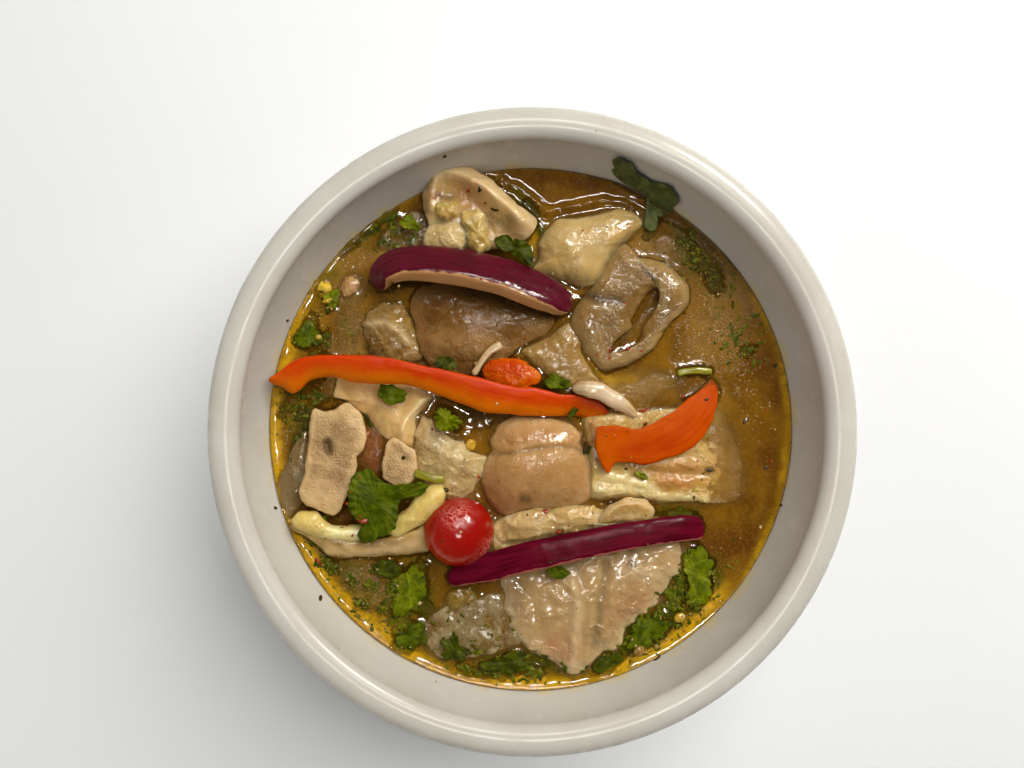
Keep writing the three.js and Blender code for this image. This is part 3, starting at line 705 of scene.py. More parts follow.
@dataclass(frozen=True)
class Glaze(Finish):
    """Off-white stoneware glaze: faint cloudy patches, tiny dark specks, and oil near the broth."""

    name: str = "stoneware_glaze"
    main: Tint = (206, 203, 194)
    cloud: Tint = (199, 195, 185)
    speck: Tint = (120, 108, 90)
    oil: Tint = (214, 190, 96)
    oily_radius: Pair = (84.6, 85.6)

    def sockets(self, bench: Bench, place: Wire) -> dict[str, Any]:
        """Clouds and specks all over, and a smear of oil on the inner wall above the broth."""
        colour = bench.mix(bench.noise(place, 22.0, 3.0).between(0.35, 0.7), self.main, self.cloud)
        near = 1 - bench.cells(place, 6.5).between(0.035, 0.07)
        specks = near * bench.noise(place, 14.0).between(0.5, 0.56)
        colour = bench.mix(specks * 0.7, colour, self.speck)
        height = bench.height(place)
        above = height.between(LEVEL - 1.0, LEVEL) * (1 - height.between(LEVEL + 0.6, LEVEL + 4.0))
        smear = bench.noise(place, 9.0, 2.0).between(0.45, 0.7)
        out = bench.vector("LENGTH", bench.place((1, 1, 0)), (0, 0, 0), output=1)
        above = above * (1 - out.between(*self.oily_radius))
        wave = bench.noise(place, 26.0, 1.0) + bench.noise(place, 1.2, 2.0) * 0.03
        return dict(
            Base_Color=bench.mix(above * smear * 0.5, colour, self.oil),
            Roughness=0.22 + smear * 0.08,
            Specular_IOR_Level=0.2,
            Normal=bench.bump(wave, 0.3, 0.8),
        )


@dataclass(frozen=True)
class Liquor(Finish):
    """The broth: murky brown with painted shade in its brown areas, yellow with oil at its edge and
    painted light where the edge is lit, clearer over what lies just under it.
    """

    name: str = "murky_broth"
    main: Tint = (134, 92, 10)
    deep: Tint = (104, 68, 2)
    milky: Tint = (168, 132, 66)
    # The yellow of oil, also painted as light along the lit side of the edge
    oil: Tint = (206, 158, 16)
    green: Tint = (72, 70, 2)
    # Brown, partly painted shade along the shaded rim and in gaps between pieces
    brown: Tint = (94, 54, 6)

    def sockets(self, bench: Bench, place: Wire) -> dict[str, Any]:
        """The masks' colours over a cloudy ground, with small beads of oil."""
        fine = bench.noise(place, 0.9, 4.0)
        clouds = bench.noise(place, 11.0, 4.0, 0.6).between(0.36, 0.66)
        streaky = bench.noise(place, 2.2, 3.0, 1.0).between(0.3, 0.6)
        colour = bench.mix(clouds, self.main, self.deep)
        colour = bench.mix(bench.tone("brown"), colour, self.brown)
        colour = bench.mix(bench.tone("milky"), colour, self.milky)
        colour = bench.mix(bench.tone("herbs") * (0.5 + fine), colour, self.green)
        colour = bench.mix(bench.tone("oil") * (0.45 + streaky * 0.55), colour, self.oil)
        beads = (1 - bench.cells(place, 0.9).between(0.12, 0.42)) * bench.tone("beads")
        colour = bench.mix(fine.between(0.45, 0.75) * 0.2 + beads * 0.45, colour, self.milky)
        ripples = bench.noise(place, 7.0, 2.0) * 0.25
        return dict(
            Base_Color=colour,
            Roughness=0.07 + bench.tone("beads") * 0.05,
            Alpha=bench.tone("cover"),
            Normal=bench.bump(beads * 1.1 + ripples + fine * 0.04, 0.5, 0.5),
            IOR=1.39,
        )


@dataclass(frozen=True)
class Crumb(Finish):
    """Small chopped things whose colour runs over some stops by a number kept at their points."""

    stops: tuple[Tint, ...]
    rough: float = 0.35
    shine: float = 0.1

    def sockets(self, bench: Bench, place: Wire) -> dict[str, Any]:
        """A ramp of the stops, darkened a little by fine noise."""
        last = len(self.stops) - 1
        stops = [(i / last, linear(tint)) for i, tint in enumerate(self.stops)]
        ramp = bench.add("ShaderNodeValToRGB", {"stops": stops}, {0: bench.tone("hue")})
        fine = bench.noise(place, 0.5, 3.0)
        return dict(
            Base_Color=bench.mix(fine.between(0.3, 0.7) * 0.4, ramp, CHOP_SHADE, "MULTIPLY"),
            Roughness=self.rough + fine * 0.1,
            Normal=bench.bump(fine, 0.4, 0.3),
            Specular_IOR_Level=self.shine,
        )


@dataclass(frozen=True)
class Tabletop(Finish):
    """A plain pale floor, faintly uneven."""

    name: str = "pale_floor"
    main: Tint = (246, 249, 253)
    cloud: Tint = (240, 243, 248)

    def sockets(self, bench: Bench, place: Wire) -> dict[str, Any]:
        """Faint clouds."""
        cloud = bench.mix(bench.noise(place, 120.0, 2.0), self.main, self.cloud)
        return dict(Base_Color=cloud, Roughness=0.7)


def wall_height(radius: Array) -> Array:
    """The height of the inner wall: TOP - DEPTH (1 - (r / R)^shoulder)^(1 / belly)."""
    share = np.minimum(radius / INNER_RADIUS, 1.0)
    return INNER_TOP - INNER_DEPTH * (1 - share**SHOULDER) ** (1 / BELLY)


def wall_curve(angle: Array) -> Array:
    """The inner wall's radius and height, R cos^(2/shoulder) and TOP - DEPTH sin^(2/belly)."""
    radius = INNER_RADIUS * np.maximum(np.cos(angle), 0) ** (2 / SHOULDER)
    return np.stack((radius, INNER_TOP - INNER_DEPTH * np.sin(angle) ** (2 / BELLY)), -1)


def kept_inside(places: Array, sink: float = 0.8) -> Array:
    """Draws places back to the inner wall, R (1 - ((TOP - z) / DEPTH)^belly)^(1 / shoulder).

    Args:
        places: Places in millimetres.
        sink: How far they may pass the wall, in millimetres.

    Returns:
        The places, moved towards the axis where they passed it.
    """
    drop = np.clip((INNER_TOP - places[..., 2]) / INNER_DEPTH, 0, 1)
    limit = INNER_RADIUS * (1 - drop**BELLY) ** (1 / SHOULDER) + sink
    share = np.minimum(1, limit / np.maximum(from_axis(places), 1e-6))
    share = np.where(places[..., 2] < INNER_TOP - 1, share, 1)
    return places * np.stack((share, share, np.ones_like(share)), -1)


@dataclass
class Terrain:
    """The highest surface over each place of the bowl, kept on a square grid of heights."""

    reach: float = 100.0
    step: float = 0.5
    highest: float = 72.0
    lowest: float = 45.0
    descent: float = 0.15
    probe: float = 0.6

    def __post_init__(self) -> None:
        """Starts with nothing anywhere."""
        side = int(2 * self.reach / self.step) + 1
        self.heights = np.zeros((side, side))

    def add(self, places: Array) -> None:
        """Raises the grid to the places of a surface."""
        cells = np.rint((places[..., :2] + self.reach) / self.step).astype(int)
        cells = np.clip(cells, 0, len(self.heights) - 1)
        np.maximum.at(self.heights, (cells[..., 0], cells[..., 1]), places[..., 2])

    def close_gaps(self, passes: int = 2) -> None:
        """Gives empty cells the height of their highest neighbour."""
        for _ in range(passes):
            near = self.heights.copy()
            for shift in ((0, 1), (0, -1), (1, 0), (-1, 0)):
                near = np.maximum(near, np.roll(self.heights, shift, axis=(0, 1)))
            self.heights = np.where(self.heights > 1, self.heights, near)

    def at(self, flat: Array) -> Array:
        """The height over places, blended between the four nearest cells."""
        spot = np.clip((flat + self.reach) / self.step, 0, len(self.heights) - 1.001)
        cell = spot.astype(int)
        u, v = np.moveaxis(spot - cell, -1, 0)
        i, j = np.moveaxis(cell, -1, 0)
        low = self.heights[i, j] * (1 - u) + self.heights[i + 1, j] * u
        high = self.heights[i, j + 1] * (1 - u) + self.heights[i + 1, j + 1] * u
        return low * (1 - v) + high * v

    def slope(self, flat: Array) -> Array:
        """How steeply the surface rises along x and along y, over a probe each way."""
        shifts = ((self.probe, 0.0), (0.0, self.probe))
        rises = [self.at(flat + shift) - self.at(flat - shift) for shift in shifts]
        return np.stack(rises, -1) / (2 * self.probe)

    def seen(self, spots: Array) -> Array:
        """Where the line of sight through each view-plane spot first meets the surface."""
        found = np.full(spots.shape[:-1], np.nan)
        for height in np.arange(self.highest, self.lowest, -self.descent):
            level = np.full(spots.shape[:-1], height)
            hit = np.isnan(found) & (self.at(drawn_in(spots, level)[..., :2]) >= height)
            found = np.where(hit, height, found)
        return drawn_in(spots, np.where(np.isnan(found), LEVEL, found))

    def footing(self, spot: Array) -> tuple[Array, Array]:
        """Finds where a small thing rests: on the food, on the broth or on the wall.

        On the wall, its height and the wall's are averaged until they agree.

        Args:
            spot: Its view-plane spot.

        Returns:
            The place of its seat, and the way up from there.
        """
        seat = self.seen(spot[None])[0]
        radius = float(from_axis(seat))
        if radius > SHORE:
            for _ in range(20):
                radius = float(from_axis(seat))
                seat = drawn_in(spot, (seat[2] + wall_height(radius)) / 2)
            half = self.probe / 2
            rise = wall_height(radius + half) - wall_height(radius - half)
            slope = seat[:2] / radius * rise / self.probe
        else:
            slope = self.slope(seat[:2])
        return seat, unit(np.append(-np.clip(slope, -STEEPEST, STEEPEST), 1.0))

    def blurred(self, mask: Array, reach: float) -> Array:
        """A mask of cells softened by a Gaussian of a reach, in millimetres."""
        waves = np.fft.fftfreq(len(mask), self.step)
        damp = np.exp(-2 * (np.pi * reach * waves) ** 2)
        return np.real(np.fft.ifft2(np.fft.fft2(mask) * damp[:, None] * damp[None, :]))


WARDROBE: dict[Finish, bpy.types.Material] = {}


@dataclass
class Piece:
    """What every piece of the dish has: a name, the finish it wears and its slot."""

    name: str
    finish: Finish
    slot: str

    def dress(self, piece: Mesh, *nodes: str) -> Mesh:
        """Gives a mesh its material, its body and the nodes that it stands for."""
        if self.finish not in WARDROBE:
            WARDROBE[self.finish] = self.finish.material()
        piece.data.materials.append(WARDROBE[self.finish])
        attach(piece, BODY)
        if nodes:
            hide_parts(*nodes)
        return piece


def paler(masks: dict[str, Array], amount: Array) -> dict[str, Array]:
    """Masks with more of the pale tone."""
    return masks | {Tone.PALE.value: np.clip(masks[Tone.PALE.value] + amount, 0, 1)}


@dataclass
class Food(Piece):
    """A piece of food that stands for the frame's node of the same name.

    Its relief, in millimetres along the normal, is noise of two sizes and some bands; the tones
    are bands of the three masks.
    """

    coarse: Pair = (0.35, 6.0)
    fine: Pair = (0.08, 1.4)
    wrinkle: Pair = (0.0, 5.0)
    ridges: tuple[Trace, ...] = ()
    pale: tuple[Trace, ...] = ()
    warm: tuple[Trace, ...] = ()
    dark: tuple[Trace, ...] = ()
    uneven: float = 0.35
    warp: float = 1.6
    stands: bool = True

    @cached_property
    def seed(self) -> int:
        """A number of the piece's own, from its name."""
        return sum(map(ord, self.name)) * 7

    def grid(self) -> tuple[Array, Array]:
        """The surface's places and their view-plane spots."""
        raise NotImplementedError

    def patches(self, places: Array) -> Array:
        """The noise that makes the masks uneven."""
        return lumpy(places, 2.5, self.seed, 2)

    def tones(self, spots: Array, places: Array) -> dict[str, Array]:
        """The masks at the points, uneven by a little noise."""
        uneven = 1 + self.uneven * self.patches(places)
        bands = {Tone.PALE: self.pale, Tone.WARM: self.warm, Tone.DARK: self.dark}
        return {t.value: np.clip(traced(b, spots) * uneven, 0, 1) for t, b in bands.items()}

    def relief(self, places: Array, spots: Array) -> Array:
        """The height of the fine forms along the normal.

        Wrinkles are folds, 0.8 - 2.2 sqrt(|noise| + 0.01), of places warped by other noise.

        Args:
            places: The surface's places.
            spots: Their view-plane spots.

        Returns:
            A height in millimetres for each.
        """
        height = self.coarse[0] * lumpy(places, self.coarse[1], self.seed, 2)
        if self.wrinkle[0]:
            bent = places + self.warp * lumpy(places, self.wrinkle[1], self.seed + 2)[..., None]
            folds = np.abs(lumpy(bent, self.wrinkle[1], self.seed + 3, 2))
            height += self.wrinkle[0] * (0.8 - 2.2 * np.sqrt(folds + 0.01))
        return height + self.fine[0] * lumpy(places, self.fine[1], self.seed + 1, 2)

    def build(self, terrain: Terrain) -> Mesh:
        """Makes the piece, dresses it and adds it to the terrain."""
        grid, spots = self.grid()
        wrapped = isinstance(self, Ring)
        grid = kept_inside(grid + normals_of(grid, wrapped) * self.relief(grid, spots)[..., None])
        lay = ring_mesh if wrapped else ball_mesh
        piece = lay(f"{self.name}_food", grid, self.tones(spots, grid))
        terrain.add(grid)
        return self.dress(piece, *((self.name,) if self.stands else ()))


def swollen(swells: Flat, spots: Array) -> Array:
    """The height of some Gaussian swells, each given by x, y, height and reach."""
    total = np.zeros(spots.shape[:-1])
    for x, y, height, reach in np.asarray(swells, float).reshape(-1, 4):
        far = np.linalg.norm(spots - (x, y), axis=-1) / reach
        total += height * np.exp(-far * far)
    return total


@dataclass
class Lump(Food):
    """A soft lump: its outline is widest at a level, with a crown above and a belly below.

    At an angle up from the outline, the spread is cos^round and the rise is sin^round.
    """

    outline: Flat = ()
    level: float = 52.5
    crown: float = 3.0
    depth: float = 8.0
    lean: Pair = (0.0, 0.0)
    swells: Flat = ()
    round: float = 0.6
    flare: float = 2.4
    skirt: float = 0.35
    ragged: float = 0.3
    soft: float = 0.45
    sunk: float = 0.7
    # thin: how much paler the edge is; painted light on flesh, the real paler rim on bone
    thin: float = 0.35
    fade: Pair = (0.62, 0.96)
    spacing: float = 0.55

    @cached_property
    def middle(self) -> Array:
        """The middle of the outline's area."""
        return middle_of(turned_left(self.outline))[1]

    def edge(self, cols: int) -> Array:
        """Evenly spaced points round the outline, uneven by a little noise."""
        edge = at_shares(dense_curve(turned_left(self.outline), True), np.arange(cols) / cols)
        uneven = lumpy(with_heights(edge, edge[:, 0] * 0), 3.0, self.seed + 5, 3)
        return edge + unit(edge - self.middle) * (self.ragged * uneven)[:, None]

    def columns(self) -> int:
        """How many points go round, about a spacing apart."""
        around = length_of(dense_curve(pairs(self.outline), closed=True))
        return int(np.clip(around / self.spacing, 48, 300))

    @property
    def wades(self) -> bool:
        """Whether the lump stands in the broth, and not on other pieces."""
        return self.level < LEVEL + AFLOAT

    def top(self, spots: Array) -> Array:
        """How far the crown rises over each spot."""
        return self.crown + swollen(self.swells, spots) + traced(self.ridges, spots)

    def profile(self, reach: float) -> tuple[Array, Array]:
        """The spread and the lift of each row, from the lower pole to the upper one.

        Above, the lift blends (1 - spread^(2 / round))^(round / 2) with the softer
        1 - spread^2.6. Below, a lump that stands in the broth first slopes out by its flare,
        down to its skirt, and then it closes like an ellipse.

        Args:
            reach: The outline's mean distance from its middle.

        Returns:
            The spread as a share of the outline, and the lift from -1 to 1.
        """
        high = int(np.clip(reach / self.spacing * 1.2, 14, 60))
        up = np.linspace(0, 1, high)
        above = 1 - up**2
        lift = (1 - above ** (2 / self.round)) ** (self.round / 2)
        lift = lift + self.soft * (1 - above**2.6 - lift)
        down = np.linspace(1, 0, high // 2, endpoint=False)
        if not self.wades:
            below = 1 - down**2
            return np.concatenate((below, above)), np.concatenate((-down, lift))
        wide = 1 + self.flare / reach
        sloping = down < self.skirt
        outer, inner = down / self.skirt, (down - self.skirt) / (1 - self.skirt)
        closing = wide * np.sqrt(np.clip(1 - inner**2, 0, 1))
        below = np.where(sloping, 1 + (wide - 1) * outer, closing)
        start = self.flare * 1.1 / self.depth
        fall = np.where(sloping, outer * start, start + (1 - start) * inner)
        return np.concatenate((below, above)), np.concatenate((-fall, lift))

    def grid(self) -> tuple[Array, Array]:
        """The lump's places and spots; the rows close up where the sides are steep."""
        out = self.edge(self.columns()) - self.middle
        reach = np.linalg.norm(out, axis=1).mean()
        spread, lift = (row[:, None] for row in self.profile(reach))
        spots = self.middle + out[None] * spread[..., None]
        slope = (spots - self.middle) @ np.asarray(self.lean)
        level = self.level - self.sunk * self.wades
        heights = level + slope + np.where(lift > 0, self.top(spots), self.depth) * lift
        return drawn_in(spots, heights), spots

    def tones(self, spots: Array, places: Array) -> dict[str, Array]:
        """Adds a paler edge to the masks: painted light on flesh, lifting the shade of its steep
        sides and standing in for light through its thin edge, and the paler rim on bone.
        """
        away = np.linalg.norm(spots - self.middle, axis=-1)
        share = away / np.maximum(away.max(0, keepdims=True), 1e-6)
        edge = smooth(*self.fade, share + 0.06 * self.patches(places))
        return paler(super().tones(spots, places), self.thin * edge)


@dataclass
class Bone(Lump):
    """A sawn piece of bone: the pores show on the sawn face, and its rim is denser and paler."""

    thin: float = 1.0
    soft: float = 0.12


@dataclass
class Ring(Lump):
    """A lump with a hole: its section runs from the outer outline to the hole's and back."""

    hole: Flat = ()
    rows: int = 72

    def grid(self) -> tuple[Array, Array]:
        """The ring's places and spots, round the ring and round its section.

        The hole's points start at the one that lies nearest to the outline's first in direction.
        """
        cols = self.columns()
        outer = self.edge(cols)
        hole = turned_left(self.hole)
        middle = middle_of(hole)[1]
        line = dense_curve(hole, closed=True)[:-1]
        along = unit(line - middle) @ unit(outer[0] - middle)
        line = np.roll(line, -int(np.argmax(along)), axis=0)
        inner = at_shares(np.vstack((line, line[:1])), np.arange(cols) / cols)
        angle = turns(self.rows)[:, None]
        across = (1 + powered(np.cos(angle), self.round)) / 2
        spots = inner[None] + (outer - inner)[None] * across[..., None]
        above = np.sin(angle) > 0
        share = np.abs(np.sin(angle)) ** self.round
        share = share + self.soft * (np.sin(angle) ** 2 - share) * above
        rise = np.where(above, self.top(spots) * share, -self.depth * share)
        return drawn_in(spots, self.level - self.sunk + rise), spots


@dataclass
class Bit(Food):
    """A seed, chip or speck on whatever is under it: an ellipsoid, bent by bend * along^2."""

    spot: Pair = (0.0, 0.0)
    half: Triple = (1.0, 0.8, 0.4)
    heading: float = 0.0
    bend: float = 0.0
    coarse: Pair = (0.12, 1.0)
    fine: Pair = (0.04, 0.5)
    stands: bool = False

    def build(self, terrain: Terrain) -> Mesh:
        """Finds its seat first."""
        self.seat, self.up = terrain.footing(np.array(self.spot))
        return super().build(terrain)

    def grid(self) -> tuple[Array, Array]:
        """The ellipsoid's places and spots."""
        rise = np.linspace(-np.pi / 2, np.pi / 2, 12)[:, None]
        along, across, above = np.moveaxis(ball(turns(20), rise), -1, 0)
        heading = np.radians(self.heading)
        ahead = np.array((np.cos(heading), np.sin(heading), 0.0))
        ahead = unit(ahead - self.up * (ahead @ self.up))
        sides = across * self.half[1] + self.bend * along**2
        places = (
            self.seat
            + (along * self.half[0])[..., None] * ahead
            + sides[..., None] * np.cross(self.up, ahead)
            + ((above + 0.5) * self.half[2])[..., None] * self.up
        )
        return places, np.broadcast_to(np.array(self.spot), (*places.shape[:2], 2))


@dataclass
class Strip(Food):
    """A strip along a path, with its width, thickness and roll in degrees spread along it.

    The section is a superellipse, and both ends are rounded off over a cap.
    """

    path: Flat = ()
    width: Flat = (5.0, 5.0)
    thick: Flat = (2.0, 2.0)
    roll: Flat = (0.0, 0.0)
    square: float = 0.7
    cap: float = 0.35
    arch: float = 0.0
    cols: int = 56
    spacing: float = 0.6

    @cached_property
    def line(self) -> Array:
        """The path, densely sampled."""
        knots = np.asarray(self.path, float).reshape(-1, 3)
        return dense_curve(drawn_in(knots[:, :2], knots[:, 2]), closed=False)

    def shares(self, length: float, cap: float) -> tuple[Array, Array]:
        """Shares of the length for the rows, and how fat the strip is at each."""
        turn = np.linspace(0, np.pi / 2, 9)[:-1]
        caps = cap * (1 - np.cos(turn))
        body = np.linspace(cap, length - cap, max(int(length / self.spacing), 6))
        run = np.concatenate((caps, body, length - caps[::-1]))
        fat = np.concatenate((np.sin(turn), np.ones(len(body)), np.sin(turn[::-1])))
        return run / length, fat

    def directions(self, t: Array, step: float = 0.004) -> tuple[Array, Array]:
        """The path's sideways direction and its upward one, rolled about the path.

        Args:
            t: Shares of the path's length.
            step: How far ahead and back the path's own direction is taken.

        Returns:
            Both directions at each share.
        """
        ahead = at_shares(self.line, np.clip(t + step, 0, 1))
        ahead = unit(ahead - at_shares(self.line, np.clip(t - step, 0, 1)))
        flat = unit(np.cross((0.0, 0.0, 1.0), ahead))
        roll = np.radians(along_row(self.roll, t))[:, None]
        side = flat * np.cos(roll) + np.cross(ahead, flat) * np.sin(roll)
        return side, np.cross(ahead, side)

    def keep_section(
        self, along: Array, across: Array, above: Array, sizes: tuple[Array, Array]
    ) -> None:
        """Keeps each place along, across and over the strip for its tones and its relief.

        Args:
            along: How far along the strip each row is, in millimetres.
            across: From one long side at -1 to the other at 1.
            above: From the underside at -1 to the top at 1.
            sizes: Half the width and half the thickness of each row.
        """
        shape = (len(along), self.cols)
        facing = np.cos(turns(self.cols))
        self.across, self.above, self.facing, along = (
            np.broadcast_to(part, shape) for part in (across, above, facing, along[:, None])
        )
        self.section = np.stack((along, sizes[0] * self.across, sizes[1] * self.above), -1)

    def grid(self) -> tuple[Array, Array]:
        """The strip's places and spots."""
        length = length_of(self.line)
        t, fat = self.shares(length, self.cap * max(self.width))
        side, over = (part[:, None] for part in self.directions(t))
        turn = turns(self.cols)
        across, above = powered(np.cos(turn), self.square), powered(np.sin(turn), self.square)
        wide = (along_row(self.width, t) * fat / 2)[:, None]
        high = (along_row(self.thick, t) * fat / 2)[:, None]
        places = (
            at_shares(self.line, t)[:, None]
            + side * (wide * across)[..., None]
            + over * (high * above)[..., None]
            + over * (self.arch * fat[:, None] * (0.5 - across**2))[..., None]
        )
        self.keep_section(t * length, across, above, (wide, high))
        return places, on_plane(places)

    def tones(self, spots: Array, places: Array) -> dict[str, Array]:
        """The masks, and the place along, across and over the strip for its streaks."""
        return super().tones(spots, places) | {"grain": self.section}


@dataclass
class Rind(Strip):
    """A strip cut from a vegetable: its rind takes one long side, and the cut flesh the other.

    The flesh, across less than a limit, takes the pale tone, and the blend is as wide as given.
    """

    limit: float = 0.0
    blend: float = 0.4
    edge_only: bool = False
    step: float = 0.0

    def tones(self, spots: Array, places: Array) -> dict[str, Array]:
        """Adds the flesh to the masks."""
        side = self.facing if self.edge_only else self.across
        wavy = side + 0.14 * lumpy(places, 2.6, self.seed, 3)
        flesh = 1 - smooth(self.limit - self.blend, self.limit + self.blend, wavy)
        return paler(super().tones(spots, places), flesh)

    def relief(self, places: Array, spots: Array) -> Array:
        """Adds a shallow step along the edge of the rind, and the strip's own ridges."""
        near = np.exp(-(((self.across - self.limit) / 0.18) ** 2))
        edge = near * self.step * (self.above > 0)
        return super().relief(places, spots) + edge + traced(self.ridges, spots)


@dataclass
class Slice(Rind):
    """A rind or a flat strip given by its two long edges in the view plane, which meet at the ends.

    Heights are spread along it; a tilt lifts the upper edge above the lower one, in millimetres.
    """

    upper: Flat = ()
    lower: Flat = ()
    levels: Flat = (LEVEL,)
    tilt: Flat = (0.0,)

    def grid(self) -> tuple[Array, Array]:
        """The slice's places and spots, row by row round its section."""
        edges = [dense_curve(pairs(line), closed=False) for line in (self.upper, self.lower)]
        length = sum(length_of(line) for line in edges) / 2
        t, fat = self.shares(length, self.cap * max(self.thick))
        t = np.clip(t, 0.001, 0.999)
        turn = turns(self.cols)
        across, above = powered(np.cos(turn), self.square), powered(-np.sin(turn), self.square)
        first, last = (at_shares(line, t)[:, None] for line in edges)
        spots = (first + last) / 2 + (first - last) / 2 * across[..., None]
        rows = (self.levels, self.thick, self.tilt)
        level, high, tilt = (along_row(row, t)[:, None] for row in rows)
        high = high * fat[:, None] / 2
        heights = level + high * (above + self.arch * (1 - across**2)) + tilt * across / 2
        wide = np.linalg.norm(first - last, axis=-1) / 2
        self.keep_section(t * length, across, above, (wide, high))
        return drawn_in(spots, heights), spots


@dataclass
class Leaf(Food):
    """A thin wavy leaf with a lobed and toothed edge, and veins that run out from its base.

    The base is the outline's first point, and the lobes and teeth are notches |sin|^0.6 deep.
    """

    outline: Flat = ()
    level: float = 60.0
    lean: Pair = (0.0, 0.0)
    ripple: float = 0.6
    swells: Flat = ()
    thick: float = 0.6
    lobes: int = 3
    lobed: float = 0.3
    teeth: int = 13
    bite: float = 0.12
    curl: float = 0.25
    veins: int = 5
    coarse: Pair = (0.3, 3.0)
    fine: Pair = (0.05, 1.2)

    def notches(self, turn: Array) -> Array:
        """What the lobes and the teeth leave of the leaf at turns round its edge, as a share.

        The turns are warped by two sines, so that no two lobes are alike.

        Args:
            turn: Turns from 0 to 1, from the base round to it.

        Returns:
            A share for each.
        """
        warp = turn + 0.02 * np.sin(4 * np.pi * turn + self.seed) + 0.01 * np.sin(10 * np.pi * turn)
        lobe = 1 - np.abs(np.sin(np.pi * (self.lobes * warp + 0.5))) ** 0.6
        lobe *= smooth(0.1, 0.2, turn * (1 - turn) * 4)
        tooth = 1 - np.abs(np.sin(np.pi * self.teeth * warp)) ** 0.6
        uneven = 0.7 + 0.6 * np.sin(14 * np.pi * turn + self.seed) ** 2
        return 1 - self.lobed * lobe - self.bite * tooth * uneven

    def spread_out(self) -> tuple[Array, Array, Array]:
        """Lays the leaf out in the view plane.

        Returns:
            The spots, half the thickness with its sign at each row, and the edge's fine waves.
        """
        outline = turned_left(self.outline)
        line = dense_curve(outline, closed=True)
        cols = int(np.clip(length_of(line) / 0.3, 72, 320))
        self.turn = np.arange(cols) / cols
        edge, self.middle = at_shares(line, self.turn), middle_of(outline)[1]
        reach = np.linalg.norm(edge - self.middle, axis=1).mean()
        rows = int(np.clip(reach / 0.35, 10, 34))
        out = np.sqrt(np.linspace(0, 1, rows))
        spread = np.concatenate((out[:-1:2], [1.0], out[::-1][1:]))[:, None]
        face = np.concatenate((-np.ones(len(out[:-1:2])), [0.0], np.ones(rows - 1)))[:, None]
        share = spread * (1 + (self.notches(self.turn) - 1) * spread**2)
        spots = self.middle + (edge - self.middle)[None] * share[..., None]
        tips = at_shares(line, (np.arange(self.veins) + 1.0) / (self.veins + 1))
        base = outline[0] * 0.9 + self.middle * 0.1
        paths = [(*base, *(tip * 0.92 + self.middle * 0.08)) for tip in tips]
        self.vein = traced([Trace(path, 1.0, 0.3) for path in paths], spots)
        self.spread = np.broadcast_to(spread, spots.shape[:2])
        body = face * np.sqrt(np.clip(1 - spread**4, 0, 1)) * self.thick / 2
        ruffle = self.curl * np.sin(2 * np.pi * self.teeth * self.turn)[None] * spread**3
        return spots, body, ruffle

    def grid(self) -> tuple[Array, Array]:
        """The leaf's places and spots, with waves of sin(6 pi turn) and finer ones at its teeth."""
        spots, body, ruffle = self.spread_out()
        wave = self.ripple * np.sin(6 * np.pi * self.turn)[None] * self.spread
        slope = (spots - self.middle) @ np.asarray(self.lean)
        heights = self.level + slope + wave + ruffle + swollen(self.swells, spots) + body
        return drawn_in(spots, heights), spots

    def tones(self, spots: Array, places: Array) -> dict[str, Array]:
        """Adds the veins to the masks."""
        return paler(super().tones(spots, places), 0.7 * self.vein)

    def relief(self, places: Array, spots: Array) -> Array:
        """Puckers the leaf between its veins."""
        between = 1 - 0.7 * np.clip(self.vein, 0, 1)
        return (super().relief(places, spots) + 0.06) * self.spread * between


@dataclass
class WallLeaf(Leaf):
    """A leaf that floats at one end and lies against the bowl's wall at the other."""

    rest: float = 1.3
    bend: Pair = (76.0, 83.0)

    def grid(self) -> tuple[Array, Array]:
        """Lifts each spot until its line of sight meets the broth or the wall."""
        spots, body, ruffle = self.spread_out()
        heights = np.full(spots.shape[:2], LEVEL)
        for _ in range(12):
            places = drawn_in(spots, heights)
            heights = np.maximum(LEVEL, (places[..., 2] + wall_height(from_axis(places))) / 2)
        places = drawn_in(spots, heights)
        radius = from_axis(places)[..., None]
        steep = smooth(*self.bend, radius)
        inward = unit(np.concatenate((-places[..., :2] / radius * steep, 1 - 0.72 * steep), -1))
        return places + inward * (self.rest + body + ruffle)[..., None], spots


@dataclass
class Tomato(Food):
    """A whole cherry tomato, a ball a little flattened, with a pale speckled patch on its crown
    painted as its highlight.
    """

    spot: Pair = (-22.5, -32.3)
    level: float = 54.6
    radius: float = 10.9
    squash: Triple = (1.0, 0.98, 0.96)

    def grid(self) -> tuple[Array, Array]:
        """The ball's places, pole to pole, and their view-plane spots."""
        whole = ball(turns(160), np.linspace(-np.pi / 2, np.pi / 2, 90)[:, None])
        middle = drawn_in(np.array(self.spot), np.array(self.level))
        places = middle + whole * self.squash * self.radius
        return places, on_plane(places)


